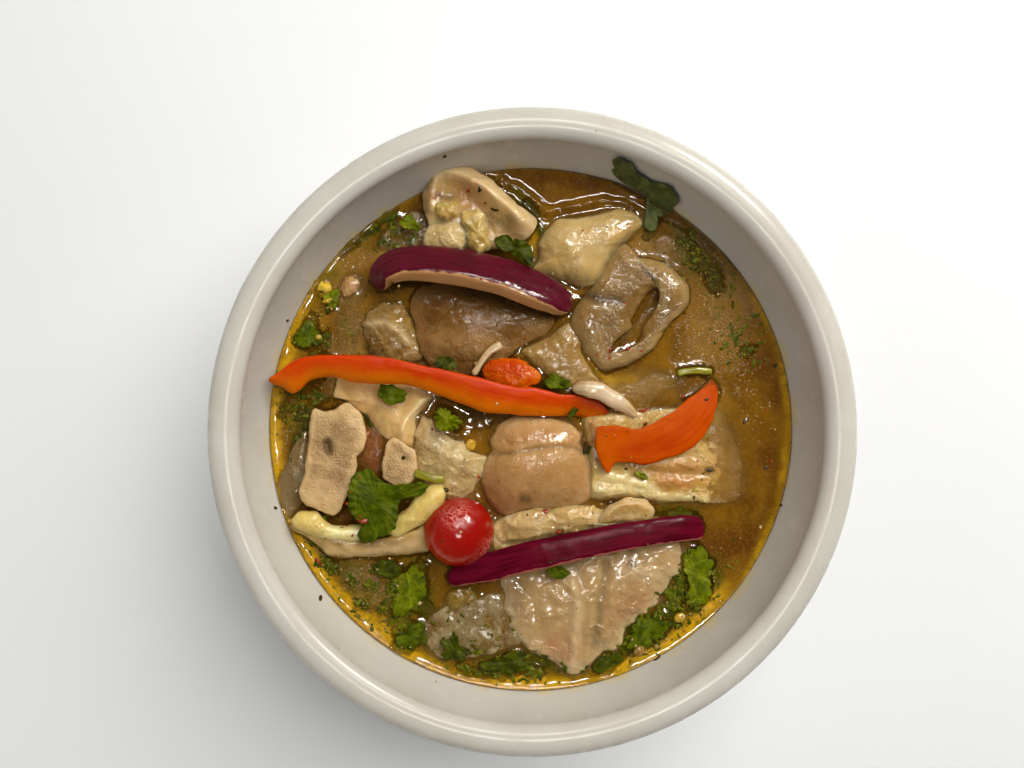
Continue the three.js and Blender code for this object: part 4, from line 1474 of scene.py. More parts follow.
@dataclass
class Bowl(Piece):
    """The round bowl, turned from one profile: foot, outer wall, lip, inner wall, floor."""

    rim_radius: float = 96.2
    lip_width: float = 9.6
    lip_rise: float = 3.5
    wall: float = 4.6
    foot: Flat = (
        0, 3.6, 20, 3.6, 36, 3.6, 37, 3.2, 37.9, 0.5, 38.6, 0, 42.4, 0, 43.1, 0.5, 44, 4.2,
    )
    foot_top: float = 46.0
    lip_start: float = 60.0
    lip_notch: Pair = (-1.2, -1.5)
    columns: int = 288
    waver: float = 0.22

    def inner(self, steps: int) -> Array:
        """The inner wall's radius and height, from the lip to the floor."""
        inside = wall_curve((np.linspace(0, 1, steps) ** 1.5) * np.pi / 2)
        inside[-1, 0] = 0
        return inside

    def profile(self) -> Array:
        """The whole profile, from the middle of the underside round to the middle of the floor.

        The outer wall runs beside the inner one at the wall's thickness, and the lip is an
        ellipse: R - width / 2 (1 - cos a), TOP + rise sin a.

        Returns:
            Radius and height, one point a row.
        """
        inside = self.inner(90)
        along = unit(np.gradient(inside, axis=0))
        outside = inside + np.stack((-along[:, 1], along[:, 0]), -1) * self.wall
        between = (outside[:, 0] > self.foot_top) & (outside[:, 1] < self.lip_start)
        outside = outside[between][::-1]
        angle = np.radians(np.linspace(-58, 180, 40))
        radius = self.rim_radius - self.lip_width / 2 * (1 - np.cos(angle))
        lip = np.stack((radius, INNER_TOP + np.sin(angle) * self.lip_rise), -1)
        outer = np.vstack((outside[::3], lip[:1] + self.lip_notch))
        outer = dense_curve(outer, closed=False, steps=3)
        return np.vstack((pairs(self.foot), outer, lip, inside[1:]))

    def build(self) -> Mesh:
        """Turns the profile and dresses the bowl, whose lip is not quite even."""
        profile = self.profile()
        flat = profile[:, None, :1] * circle(self.columns)[None]
        grid = with_heights(flat, np.broadcast_to(profile[:, 1:], flat.shape[:2]))
        wave = self.waver * lumpy(grid, 30.0, 5) * smooth(45, 60, grid[..., 2])
        radius = from_axis(flat)
        inward = wave * smooth(60, 90, radius) - 0.25
        flat = flat * (1 + np.where(radius > 60, inward * 0.004, 0))[..., None]
        return self.dress(ball_mesh("bowl_glazed", with_heights(flat, grid[..., 2]), {}), "bowl")


@dataclass
class Broth(Piece):
    """The broth: it fills the bowl to its level and climbs a little up the wall and the food.

    What lies just under the surface shows through: the cover is 1 - exp(-depth / murk).
    """

    rings: int = 150
    columns: int = 560
    gap: float = 0.3
    edge: float = 82.0
    murk: float = 1.3
    clearest: float = 0.3
    light: Pair = (0.8, 0.6)
    bands: tuple[tuple[str, tuple[Trace, ...]], ...] = ()
    ridges: tuple[Trace, ...] = ()

    def lit(self, flat: Array, low: float, high: float) -> Array:
        """How much of the light falls on the wall by each place, from the side across."""
        outward = -(flat @ self.light) / np.maximum(from_axis(flat), 1)
        return smooth(low, high, outward)

    def surface(self, flat: Array, terrain: Terrain) -> Array:
        """The height of the surface, with menisci, faint ripples and a few ridges of oil.

        A meniscus is what stands above the broth, blurred; the wall's is exp(-distance / 1.1).

        Args:
            flat: Places on the level of the broth.
            terrain: What lies in it.

        Returns:
            A height for each place.
        """
        climb = Terrain(terrain.reach, terrain.step)
        climb.heights = terrain.blurred((terrain.heights > LEVEL + 0.35).astype(float), 1.1)
        inland = self.edge - from_axis(flat)
        places = with_heights(flat, np.full(flat.shape[:-1], LEVEL))
        ripples = 0.1 * lumpy(places, 7.0, 3, 2) + 0.05 * lumpy(places, 1.8, 4, 2)
        wall = (0.25 + 0.75 * self.lit(flat, -0.3, 0.7)) * np.exp(-inland / 1.1)
        drawn = traced(self.ridges, flat) * (1 + 0.6 * lumpy(places, 2.2, 6, 2))
        return LEVEL + 0.65 * climb.at(flat) + wall + ripples * smooth(0, 4, inland) + drawn

    def underside(self) -> Array:
        """The radius and height of the underside, a gap inside the wall, from its middle out."""
        low = np.arcsin(((INNER_TOP - LEVEL) / INNER_DEPTH) ** (BELLY / 2))
        wall = wall_curve(low + (np.pi / 2 - low) * (1 - np.linspace(0, 1, 20)))
        under = np.stack((np.maximum(wall[:, 0] - self.gap, 0), wall[:, 1] + self.gap), -1)[:-1]
        under[0, 0] = 0
        return under[under[:, 0] < self.edge]

    def masks(self, top: Array, terrain: Terrain) -> dict[str, Array]:
        """How much the broth covers, and its bands, with oil along the whole edge, painted stronger
        and wider where the light falls.

        Args:
            top: The surface's places.
            terrain: What lies under it.

        Returns:
            Each mask by its name.
        """
        cover = 1 - np.exp(-np.maximum(top[..., 2] - terrain.at(top[..., :2]), 0) / self.murk)
        thin = LEVEL + 0.4 - wall_height(from_axis(top))
        cover = np.minimum(cover, 1 - np.exp(-np.maximum(thin, 0) / 1.4))
        made = {"cover": np.clip(cover * 0.99, self.clearest, 0.99)}
        uneven = 1 + 0.8 * lumpy(top, 6.0, 8, 3)
        for tone, paths in self.bands:
            made[tone] = np.clip(traced(paths, top[..., :2]) * uneven, 0, 1)
        # Painted light: the oil along the edge is stronger and wider on the side that the light
        # falls on
        lit = self.lit(top[..., :2], -0.5, 0.6)
        rim = np.exp(-((self.edge - from_axis(top)) / (0.9 + 1.1 * lit))) * (0.35 + 0.8 * lit)
        made["oil"] = np.clip(made["oil"] + rim * (1 + 0.5 * lumpy(top, 7.0, 12, 2)), 0, 1)
        return made

    def build(self, terrain: Terrain) -> Mesh:
        """Lays the underside along the wall, the top over it, and the masks."""
        under = self.underside()
        ring = circle(self.columns)[None]
        bottom = under[:, None, :1] * ring
        bottom = with_heights(bottom, np.broadcast_to(under[:, 1:], bottom.shape[:2]))
        flat = (self.edge * (1 - np.linspace(0, 1, self.rings)))[:, None, None] * ring
        top = with_heights(flat, self.surface(flat, terrain))
        hidden = np.zeros(bottom.shape[:2])
        whole = {
            tone: np.concatenate((hidden + (tone == "cover"), values))
            for tone, values in self.masks(top, terrain).items()
        }
        terrain.add(top)
        return self.dress(ball_mesh("broth_surface", np.concatenate((bottom, top)), whole), "broth")


class Cut(Enum):
    """The kinds of small things, each with the sides and rows of the shape that it copies."""

    DROP = (8, 5)
    FLAKE = (6, 4)
    SHRED = (10, 4)
    GRAIN = (8, 6)


def template(cut: Cut) -> tuple[Array, Array]:
    """The unit shape of one small thing, a coarse ball, and its triangles.

    A shred is bent by 1.6 along^2 - 0.8, and scaling makes the rest: a drop is a low dome, a
    flake a flat six-sided chip and a grain a rounded lump.

    Args:
        cut: Which kind.

    Returns:
        The points, and the numbers of each triangle's corners.
    """
    sides, rows = cut.value
    rise = np.linspace(-np.pi / 2, np.pi / 2, rows)[1:-1, None]
    points = np.vstack(([[0, 0, -1.0]], ball(turns(sides), rise).reshape(-1, 3), [[0, 0, 1.0]]))
    quads, low, high = pole_faces(rows - 2, sides)
    if cut is Cut.SHRED:
        points[:, 2] += 1.6 * points[:, 0] ** 2 - 0.8
    return points, np.vstack((low, quads[:, :3], quads[:, [0, 2, 3]], high))


@dataclass
class Scatter(Piece):
    """Many copies of one small thing, laid on whatever is highest where each one falls.

    Args:
        cut: Which template.
        patches: x, y, reach and count of each patch of the view plane, reach as a Gaussian's.
        size: Smallest and largest half length.
        shape: Width and height as shares of the half length.
        sink: How far a copy sits into what carries it, as a share of its height.
        lift: The greatest tilt away from the surface, in degrees.
        low: Whether they keep to the open broth.
        afloat: How far above its level they may then lie.
        rough: How uneven a copy is, as a share of its size.
        thinnest: The least half height.
        seed: Which draw.
    """

    cut: Cut = Cut.FLAKE
    patches: Flat = ()
    size: Pair = (0.3, 0.6)
    shape: Pair = (0.7, 0.3)
    sink: float = 0.3
    lift: float = 12.0
    low: bool = False
    afloat: float = 1.2
    rough: float = 0.22
    thinnest: float = 0.06
    seed: int = 1

    def seats(self, chance: np.random.Generator, terrain: Terrain) -> Array:
        """Draws spots in the patches and finds the seat of each.

        Args:
            chance: The draw.
            terrain: What they fall on.

        Returns:
            The seats that lie well inside the wall and, if need be, on the open broth.
        """
        spots = np.vstack([
            chance.normal((x, y), reach, (int(count), 2))
            for x, y, reach, count in np.asarray(self.patches, float).reshape(-1, 4)
        ])
        seats = terrain.seen(spots)
        inland = SHORE - from_axis(seats)
        keep = (seats[:, 2] < LEVEL + self.afloat) & (inland > 0.5) if self.low else inland > 1.0
        return seats[keep]

    def build(self, terrain: Terrain) -> Mesh:
        """Lays the copies on the terrain, each turned and sized by the draw, as one mesh."""
        chance = np.random.default_rng(self.seed)
        seats = self.seats(chance, terrain)
        count = len(seats)
        slope = np.clip(terrain.slope(seats[:, :2]), -STEEPEST, STEEPEST)
        slope = slope + np.tan(np.radians(self.lift)) * chance.uniform(-1, 1, (count, 2))
        up = unit(with_heights(-slope, np.ones(count)))
        heading = chance.uniform(0, 2 * np.pi, count)
        ahead = np.stack((np.cos(heading), np.sin(heading), np.zeros(count)), -1)
        ahead = unit(ahead - up * (ahead * up).sum(1, keepdims=True))
        beside = np.cross(up, ahead)
        points, faces = template(self.cut)
        half = chance.uniform(*self.size, count) * chance.uniform(0.6, 1, count)
        wide = half * self.shape[0] * chance.uniform(0.7, 1.2, count)
        high = np.maximum(half * self.shape[1] * chance.uniform(0.8, 1.2, count), self.thinnest)
        rough = points[None] * (1 + self.rough * chance.uniform(-1, 1, (count, len(points), 1)))
        places = (
            seats[:, None]
            + (up * (high * (1 - 2 * self.sink))[:, None])[:, None]
            + rough[..., :1] * (ahead * half[:, None])[:, None]
            + rough[..., 1:2] * (beside * wide[:, None])[:, None]
            + rough[..., 2:] * (up * high[:, None])[:, None]
        )
        numbers = faces[None] + (np.arange(count) * len(points))[:, None, None]
        tones = {"hue": np.repeat(chance.uniform(0, 1, count), len(points))}
        piece = lay_mesh(self.name, places.reshape(-1, 3), [numbers.reshape(-1, 3)], tones)
        return self.dress(piece)


# The tomato's pale colour is a painted highlight
TOMATO_PEEL = Peel(
    "tomato_peel", (166, 12, 0), (138, 8, 0), (224, 136, 124), (180, 40, 4), (90, 10, 4),
    streak=6.0, length=1.0, rough=0.12, glints=0.3, soft=0.2, shine=0.35, painted_sheen_speckle=1.6,
)
PEPPER_PEEL = Peel(
    "pepper_peel", (208, 68, 0), (198, 48, 0), (214, 108, 0), (216, 100, 0), (140, 52, 0),
    rough=0.3, shine=0.1,
)
SHORT_PEPPER_PEEL = Peel(
    "short_pepper_peel", (190, 74, 0), (180, 60, 0), (194, 88, 0), (200, 90, 0), (168, 48, 0),
    rough=0.35, shine=0.02,
)
ONION_PEEL = Peel(
    "onion_peel", (92, 9, 34), (70, 5, 20), (190, 140, 90), (120, 34, 50), (40, 6, 14),
    streak=0.9, rough=0.1, shine=0.4, glints=0.4,
)
DARK_ONION_PEEL = Peel(
    "dark_onion_peel", (98, 9, 34), (72, 4, 20), (176, 96, 84), (116, 28, 48), (38, 4, 14),
    rough=0.16, shine=0.05, glints=0.12,
)
PALE_ONION = Peel(
    "pale_onion_flesh", (207, 181, 140), (190, 156, 110), (228, 206, 176), (196, 130, 110), (120,
    90, 60),
)
STALK = Peel(
    "green_stalk", (160, 150, 36), (120, 118, 22), (190, 182, 90), (150, 136, 40), (60, 66, 14),
)
TAN_SKIN = Wet("tan_skin", (198, 164, 98), (164, 130, 78), (218, 190, 142))
BROWN_SKIN = Wet("brown_skin", (118, 80, 30), (98, 64, 22), (172, 134, 82), glints=0.7, shine=0.14)
JOINT_SKIN = Wet(
    "joint_skin", (188, 144, 90), (170, 124, 72), (204, 170, 122), glints=0.6, shine=0.24,
)
GREY_SKIN = Wet("grey_skin", (131, 108, 67), (102, 80, 48), (172, 150, 112))
SLAB_SKIN = Wet(
    "slab_skin", (186, 154, 104), (160, 126, 78), (208, 186, 146), warm=(180, 120, 82), grain=1.4,
    rough=0.08, glints=0.55, shine=0.5,
)
BLOCK_FAT = Wet(
    "block_fat", (196, 156, 70), (184, 138, 58), (226, 204, 146), warm=(190, 130, 84), glints=0.9,
)
CUP_FAT = Wet("cup_fat", (190, 162, 88), (166, 136, 62), (206, 184, 124), mottle=4.0)
CREAM_FAT = Wet("cream_fat", (226, 202, 120), (200, 168, 84), (238, 222, 164), mottle=4.0)
CLEAR_JELLY = Wet(
    "clear_jelly", (202, 176, 120), (164, 132, 78), (214, 194, 150), rough=0.1, glints=1.0,
    soft=0.45,
)
SUNK_JELLY = Wet(
    "sunk_jelly", (142, 122, 80), (118, 94, 54), (178, 158, 116), rough=0.1, soft=0.45,
)
KNUCKLE_SKIN = Wet("knuckle_skin", (194, 164, 100), (168, 136, 74), (212, 186, 136), grain=0.7)
RING_SKIN = Wet("ring_skin", (140, 108, 56), (120, 90, 44), (176, 148, 98), glints=0.7, shine=0.24)
GRISTLE = Wet("gristle", (158, 124, 60), (122, 88, 40), (200, 176, 130), mottle=5.0, glints=0.9)
GARLIC = Wet("garlic_dice", (226, 186, 52), (196, 150, 38), (236, 212, 120), mottle=2.0)
SHALLOT = Wet("shallot_dice", (190, 152, 92), (170, 112, 72), (220, 186, 146), mottle=2.0)
PULP = Wet("pulp_dice", (140, 110, 38), (112, 84, 24), (190, 166, 90), mottle=2.0)
CARROT = Wet(
    "carrot_flesh", (208, 98, 3), (188, 70, 2), (216, 116, 24), warm=(190, 46, 4), grain=0.8,
    glints=0.9, shine=0.1,
)
LOW_FAT = Wet("low_fat", (164, 131, 73), (150, 112, 54), (204, 178, 124))
SEED = Wet("pepper_seed", (206, 158, 40), (176, 120, 24), (224, 190, 90), mottle=2.0)
CHILI = Wet("chili_chip", (150, 40, 10), (120, 26, 6), (180, 80, 30), mottle=2.0, stain=0.0)
HUSK = Wet("dark_speck", (58, 44, 14), (40, 32, 8), (90, 76, 26), mottle=2.0, stain=0.0)
# Painted light: a paler copy of tan skin, lit up against the shadow of the long pepper
RIDGED_SKIN_PAINTED_LIGHT = Wet("ridged_skin_tan_painted_light", (236, 196, 130), (192, 148, 88), (232, 206, 156))
# Painted shade: a greyer, bluer copy of the herb colour for the leaf in the wall's shade
WALL_HERB_PAINTED_SHADE = Blade("wall_herb_leaf_painted_shade", (100, 108, 60), (72, 78, 44), (104, 110, 60))
BOILED_BONE = Porous()
HERB = Blade("herb_leaf", (84, 96, 0), (48, 62, 0), (116, 128, 14))
BRIGHT_HERB = Blade("bright_herb_leaf", (106, 116, 0), (70, 84, 0), (150, 152, 30))
DARK_HERB = Blade("dark_herb_leaf", (68, 76, 0), (38, 44, 2), (96, 102, 20))


# Every piece of food, from the topmost down
FOOD: tuple[Food, ...] = (
    # The tomato's pale bands are painted highlights, on its crown and at its lower right edge
    Tomato("cherry_tomato", TOMATO_PEEL, "tomato", coarse=(0.25, 9), fine=(0.02, 1.5),
        pale=(Trace((-25, -28, -22, -26.4), 0.55, 3), Trace((-12.6, -36, -14.6, -41, -19, -44),
        0.5, 1.8),), warm=(Trace((-30, -38, -26, -42), 0.5, 4),)),
    Leaf("leaf_flat", HERB, "leaf", outline=(-54.5, -13.5, -52.5, -12.5, -50, -13, -48, -15.5,
        -45.5, -17, -43, -17.5, -40, -17, -36, -17, -34, -17, -32, -18, -33, -19.5, -34.5, -21,
        -37.5, -20.5, -39.5, -21.5, -41, -23, -41.5, -25.5, -42, -29, -42.5, -31.5, -43.5, -32.5,
        -45, -34, -46.5, -34, -47.5, -34, -48.5, -35, -51, -36, -52.5, -36, -54.5, -33.5, -53.5,
        -31, -55.5, -28, -57, -25.5, -57.5, -23, -57.5, -19, -56.5, -15.5), lean=(0, 0.07),
        ripple=0.7, teeth=29, bite=0.05, lobed=0.02),
    Leaf("leaf_round", HERB, "leaf", outline=(-49, 12, -48, 13.8, -43, 13.8, -38.5, 12.3, -39.5, 9,
        -43, 6.8, -46.5, 9), level=58.2, lean=(0, 0.1), teeth=9),
    Leaf("leaf_frilled", BRIGHT_HERB, "leaf", outline=(-31, 4.5, -29, 7, -24.5, 6, -21.3, 2.5, -23,
        -0.5, -26, -1.5, -29.5, 0), level=58, ripple=1, swells=(-26, 3, 1.5, 3), teeth=12,
        bite=0.25, curl=0.6),
    Strip("stem_left", STALK, "stem", path=(-36.5, -13.8, 57.6, -32, -15.2, 58.2, -27, -16.2,
        57.6), width=(2.6, 2.6), coarse=(0.12, 3)),
    Leaf("leaf_tucked", DARK_HERB, "leaf", outline=(-30.5, 20, -29, 22.7, -26, 23.3, -23, 20.8,
        -22, 19.2, -26, 18.5), ripple=0.3, lean=(0, -0.1), teeth=9),
    Slice("pepper_strip_long", PEPPER_PEEL, "pepper", thick=(2.4, 3.4, 3.4, 3.4, 3.2, 2.6),
        square=0.5, coarse=(0.28, 8), fine=(0.05, 2), upper=(-82.5, 15, -82.5, 16, -80, 17.5, -76,
        20.5, -71.5, 22.5, -67.5, 23, -59, 23.5, -48.5, 23, -44, 22.5, -40, 21.5, -35.5, 20.5, -30,
        19.5, -22, 17.5, -15, 16, -10, 14.5, -3, 13, 0, 13, 4, 12.5, 10, 11, 14.5, 11, 19, 10, 21,
        9.5, 23, 8, 24.5, 5), lower=(-82.5, 15, -81, 14, -78.5, 13, -75, 11, -73, 12, -70, 15,
        -67.5, 16, -63, 16.5, -60, 16, -56, 14.5, -50, 14, -40, 14, -35.5, 13, -30, 11, -22, 8,
        -15, 5.5, -10, 5, 0, 4, 10, 4, 14, 4, 18.5, 3.5, 22, 3.5, 24.5, 5), levels=(58, 59, 60.5,
        61, 61, 60.6, 60, 59.5, 58, 56, 52.6, 51.4), tilt=(1.5, 2.5, 3, 3, 3, 2.5, 2, 1),
        arch=0.35, limit=-0.15, blend=0.5, warm=(Trace((-81, 15, -76, 14), 0.9, 3.2),),
        dark=(Trace((16, 7, 24, 6), 0.55, 5),)),
    Rind("red_onion_upper", ONION_PEEL, "red_onion", path=(-47.2, 43.6, 57, -46.4, 49.3, 59.5, -42,
        51.8, 60.5, -35, 52.5, 61, -26, 51.8, 61, -17, 50.2, 61, -8, 47.9, 60.6, 0, 44.8, 60, 7.5,
        41.3, 59, 12.6, 37.3, 57.5), width=(6, 11, 12, 12.2, 12.4, 12.2, 11.6, 7), thick=(3.5, 5,
        5.4, 5.4, 5.2, 4), roll=(-24, -34, -38, -38, -36, -30), square=0.34, limit=-0.72,
        blend=0.05, edge_only=True, arch=0.5, step=0.15, coarse=(0.3, 10), fine=(0.05, 1.6)),
    Rind("red_onion_lower", DARK_ONION_PEEL, "red_onion", path=(-26, -47.3, 55, -16, -44.4, 57, -5,
        -41.4, 58.4, 5, -39, 59, 15, -36.8, 59, 25, -34.8, 58.6, 35, -33, 57.6, 45, -31.4, 56,
        54.6, -30.9, 53.6), width=(5, 8.6, 8.6, 8.4, 8.2, 8, 7.2), thick=(3, 4.2, 4.4, 4.2, 4, 3),
        roll=(-8, -14, -16, -16, -12, -6), square=0.36, limit=-0.74, blend=0.05, edge_only=True,
        arch=0.4, step=0.12, coarse=(0.3, 9), fine=(0.05, 1.6)),
    Slice("pepper_strip_short", SHORT_PEPPER_PEEL, "pepper", thick=(1.5, 1.8, 2, 1.8, 1.5, 1.1),
        square=0.4, fine=(0.05, 2), upper=(20.5, -4, 21, -2.5, 21, 0, 25.5, 1, 30, 0.5, 33.5, 0,
        37.5, 1.5, 40, 3, 44.5, 5.5, 49, 9, 52.5, 11.5, 55, 14, 57, 16), lower=(20.5, -4, 21, -8,
        22.5, -11.5, 24.5, -14, 26.5, -11, 30, -10.5, 35, -11, 39.5, -10.5, 42, -9.5, 46, -8.5,
        51.5, -5, 55, -1.5, 57, 3, 58.5, 8, 59, 12, 57, 16), levels=(57.4, 57.6, 57.4, 56.6, 55.6,
        54, 52.4, 50.6), tilt=(0.5, 0), blend=0.45, cap=1.2, warm=(Trace((22, -4, 24, -10), 0.9,
        3.4), Trace((28, -2, 40, 1, 50, 8), 0.4, 3),), pale=(Trace((38, -5, 44, -4), 0.1, 1),),
        limit=-2, arch=0.1, coarse=(0.4, 6), dark=(Trace((34, -6, 44, -4), 0.5, 2.6),)),
    Strip("onion_sliver_pale", PALE_ONION, "pale_onion", path=(-9, 26.5, 58.4, -12, 25, 58.6, -15,
        21.8, 58.6, -18, 17, 58), width=(2.8, 2.2, 2, 2), thick=(2, 1.6, 1.4), coarse=(0.12, 3)),
    Slice("onion_strip_white", PALE_ONION, "pale_onion", thick=(1.8, 2, 1.8, 1.2), coarse=(0.2, 4),
        upper=(13, 13, 14, 14, 16, 15, 20, 15, 22.5, 14.5, 25, 13, 27.5, 11.5, 30, 9.5, 32, 7.5,
        33, 6, 34, 4), lower=(13, 13, 14, 11.5, 17, 10.5, 20, 9.5, 22.5, 8.5, 25, 7, 27.5, 6, 30.5,
        4.5, 32.5, 3.5, 34, 4), levels=(55.5, 56, 56, 55.4, 54.4, 53), arch=0.8, limit=-2, cap=1,
        square=0.6, pale=(Trace((20, 12, 28, 9), 0.5, 3),), dark=(Trace((14, 13, 16, 13), 0.3,
        2),)),
    Lump("carrot_slice", CARROT, "carrot", outline=(-15, 17.5, -13.5, 21, -9, 22, -4, 22, 0, 20, 3,
        17.5, 3, 15, -1, 12.5, -7, 12, -12.5, 13.5), level=55.6, depth=3.5, round=0.45,
        coarse=(0.35, 3.5), fine=(0.22, 1.1), warm=(Trace((-12, 20, -4, 20), 0.6, 3),)),
    Leaf("leaf_by_carrot", HERB, "leaf", outline=(4, 15, 6, 17.6, 9.5, 16.8, 13, 15.6, 12, 13, 8,
        12.4, 5, 13.5), level=56.6, teeth=10),
    Leaf("leaf_by_cup", DARK_HERB, "leaf", outline=(-9, 62, -5, 60.5, 0, 58, 2.5, 54, 1.5, 51, -4,
        53.5, -9, 56, -11.5, 59), level=60.6, ripple=0.8, lean=(0, 0.08), teeth=11, curl=0.4),
    Leaf("leaf_behind", BRIGHT_HERB, "leaf", outline=(-42.3, 65.5, -40, 67.2, -37, 67.8, -35, 65,
        -34.6, 62.6, -38, 62.3, -40.6, 63.8), level=56, teeth=9),
    Leaf("leaf_on_slab", HERB, "leaf", outline=(4.4, -44, 8, -42.8, 13, -44.6, 11, -46.8, 8, -48,
        5.8, -46), level=57.4, lean=(0, 0.05), teeth=9),
    Leaf("leaf_sprig", DARK_HERB, "leaf", outline=(-24.5, -63.5, -22, -66.5, -19.5, -69, -18,
        -72.5, -22, -74, -26.5, -73, -29, -70, -28, -66.5), level=54, ripple=0.5, lobed=0.5,
        lobes=5, bite=0.2, teeth=15),
    # skin_knob: the dark band is painted shade in its groove
    Lump("skin_knob", TAN_SKIN, "skin", outline=(21, -29.5, 22.5, -26.5, 24.5, -24, 26.5, -23,
        29.5, -21.5, 33, -21.5, 36.5, -22.5, 39, -25, 38.5, -27.5, 36.5, -29, 33, -29.5, 28, -29.5,
        24, -30), level=53.6, crown=3.2, depth=6, ridges=(Trace((24, -26.4, 28, -24, 33, -23.2, 37,
        -25), 0.7, 1), Trace((26, -27.4, 32, -26.6), -0.6, 1.4),), pale=(Trace((22, -27.6, 25, -25,
        29, -22.8, 34, -22.4, 38, -25), 0.7, 1),), dark=(Trace((27, -27.4, 33, -26.8), 0.2, 2),),
        round=0.5),
    # twin_joint: the first dark band is painted shade in the fold between the lobes
    Lump("twin_joint", JOINT_SKIN, "skin", outline=(-6, 4, 0, 4.5, 5, 3.5, 9, 3, 13, 1.5, 16, -1.5,
        16, -4.5, 18.5, -8.5, 19.5, -12.5, 19.5, -17, 19, -21, 17, -23, 14, -24, 8, -25, 0, -25,
        -4, -26, -7, -27.5, -10, -26.5, -13, -23, -15, -18, -15, -12, -13.5, -8.5, -12, -6.5,
        -12.5, -4, -11.5, -1.5, -9.5, 1.5), crown=5.8, depth=12, swells=(2, -15, 2, 12, 2, -1.5,
        1.2, 8, 2, -7.4, -1.2, 4), dark=(Trace((-12, -8, -5, -7.2, 4, -5.6, 9, -5.2, 14, -5.6,
        17.6, -7.8), 0.3, 0.8), Trace((-2.4, -21.8, -0.6, -22), 0.7, 1.3),), warm=(Trace((-12, -20,
        -6, -24), 0.5, 5),), pale=(Trace((-6, 1.5, 4, 2.5, 10, 1), 0.3, 2.4), Trace((-3, -9, 8, -8,
        15, -9), 0.3, 2.4),), fine=(0.08, 1.6), ridges=(Trace((-12, -8.4, -7, -7.8, -2, -7, 4, -6,
        9, -5.6, 14, -6, 17.6, -8.2), -0.7, 0.9), Trace((-8, -12, 2, -11, 12, -12), 0.8, 5),),
        coarse=(0.2, 8)),
    # skin_strip: the first dark band is painted shade in the groove of its first ridge
    Lump("skin_strip", TAN_SKIN, "skin", outline=(-11.5, -30, -9, -27.5, -6, -26.5, -2, -25, 2,
        -24, 8, -24, 12, -23.5, 18, -24, 22, -24.5, 26, -25, 31, -26, 36, -28, 37, -29, 34, -30,
        30, -30, 25, -31, 20, -32.5, 15, -34, 10, -35, 5, -36, 0, -37, -6, -38.5, -10.5, -39, -12,
        -36.5), crown=2.8, round=0.5, swells=(0, -28, 1.6, 7, 14, -27, 1.4, 6, 2, -34.6, 1.2, 3),
        coarse=(0.45, 5), ridges=(Trace((-9, -36, -3, -35.6, 4, -34.4, 12, -33), -0.9, 0.6),
        Trace((-9, -37.6, 0, -36, 6, -35), 0.7, 0.8), Trace((-6, -30, 2, -31, 10, -31.4), 0.6,
        1.5), Trace((21, -30.6, 28, -29.6, 36, -29.3), 0.9, 0.8),), dark=(Trace((-9, -36, -3,
        -35.6, 4, -34.4, 12, -33), 0.55, 0.6), Trace((4.6, -25.6, 5.2, -26), 0.9, 0.7), Trace((8.8,
        -32.4, 9.6, -32.4), 0.9, 0.8),), pale=(Trace((-6, -29, 4, -31), 0.5, 3), Trace((21, -30.6,
        28, -29.6, 36, -29.3), 0.7, 0.8), Trace((14, -26, 22, -27), 0.3, 2),), wrinkle=(0.4, 3.4)),
    Bone("bone_small", BOILED_BONE, "bone", outline=(-43.5, -2.5, -42, -3, -39.5, -5, -36.5, -6.5,
        -36, -8.5, -36, -13, -37.5, -16.5, -39.5, -17.5, -43, -17.5, -46.5, -15.5, -46.5, -12, -46,
        -8.5, -45.5, -5.5), level=54.5, crown=2.6, depth=9, round=0.16, fine=(0.16, 1.2),
        dark=(Trace((-39.6, -9.2, -38.8, -9), 0.7, 0.9),), soft=0.06, coarse=(0.25, 3), ragged=0.4),
    Bone("bone_large", BOILED_BONE, "bone", outline=(-68, 6.5, -66, 6, -64.5, 5.5, -61.5, 6, -59,
        8, -56.5, 8, -53.5, 5, -52, 1, -51.5, -2, -52, -4, -53, -7, -54.5, -9.5, -55, -13, -56,
        -15.5, -57, -19.5, -58.5, -22.5, -60, -26, -62, -27.5, -65, -26.5, -68, -25.5, -71.5, -23,
        -73, -20, -72.5, -17.5, -71, -14.5, -71, -11.5, -70.5, -7.5, -70, -2.5, -69.5, 2.5, -69,
        5.5), level=55, crown=3.4, depth=10, round=0.14, swells=(-56, 0, 1, 6), fine=(0.18, 1.3),
        ridges=(Trace((-64, -4.6, -63.7, -6.8), -2.6, 1.3), Trace((-70, -10.4, -64, -12, -58,
        -13.6), 0.5, 0.8), Trace((-67, -15, -61, -16), -0.5, 2),), dark=(Trace((-64, -4.4, -63.7,
        -7), 0.95, 1.3), Trace((-65, -2, -62, -9), 0.35, 4.4),), pale=(Trace((-67, -20, -64, -22),
        0.75, 4.4), Trace((-57, 2, -56, 6), 0.6, 2.4), Trace((-70, -11, -64, -12.4, -58, -14), 0.5,
        0.8),), soft=0.06, coarse=(0.35, 5), ragged=0.5),
    Lump("skin_between", BROWN_SKIN, "skin", outline=(-52.5, -0.5, -49, 1.5, -46.5, -1.5, -46, -6,
        -46.5, -13.5, -48.5, -15.5, -52, -12.5, -55.5, -11, -54, -6), level=52.4, crown=1.8,
        depth=5, warm=(Trace((-50, -4, -49, -12), 0.6, 3),)),
    # ridged_skin: the pale band along its ridge is a painted highlight
    Lump("ridged_skin", RIDGED_SKIN_PAINTED_LIGHT, "skin", outline=(-60, 16.5, -50, 15.5, -42, 14.5, -36, 13.5,
        -33.5, 12, -31, 10, -32.5, 8, -34.5, 5.5, -36, 3.5, -36, 0, -36.5, -3, -37.5, -5.5, -39.5,
        -5, -42.5, -3.5, -45, -3.5, -47, -2, -48.5, 0, -50, 2, -51.5, 4, -54, 5.5, -56, 7.5, -59,
        9.5, -62, 10, -61.5, 13), level=53, crown=2.6, swells=(-35, 9, 2, 3, -37.5, 4.5, 2, 3, -40,
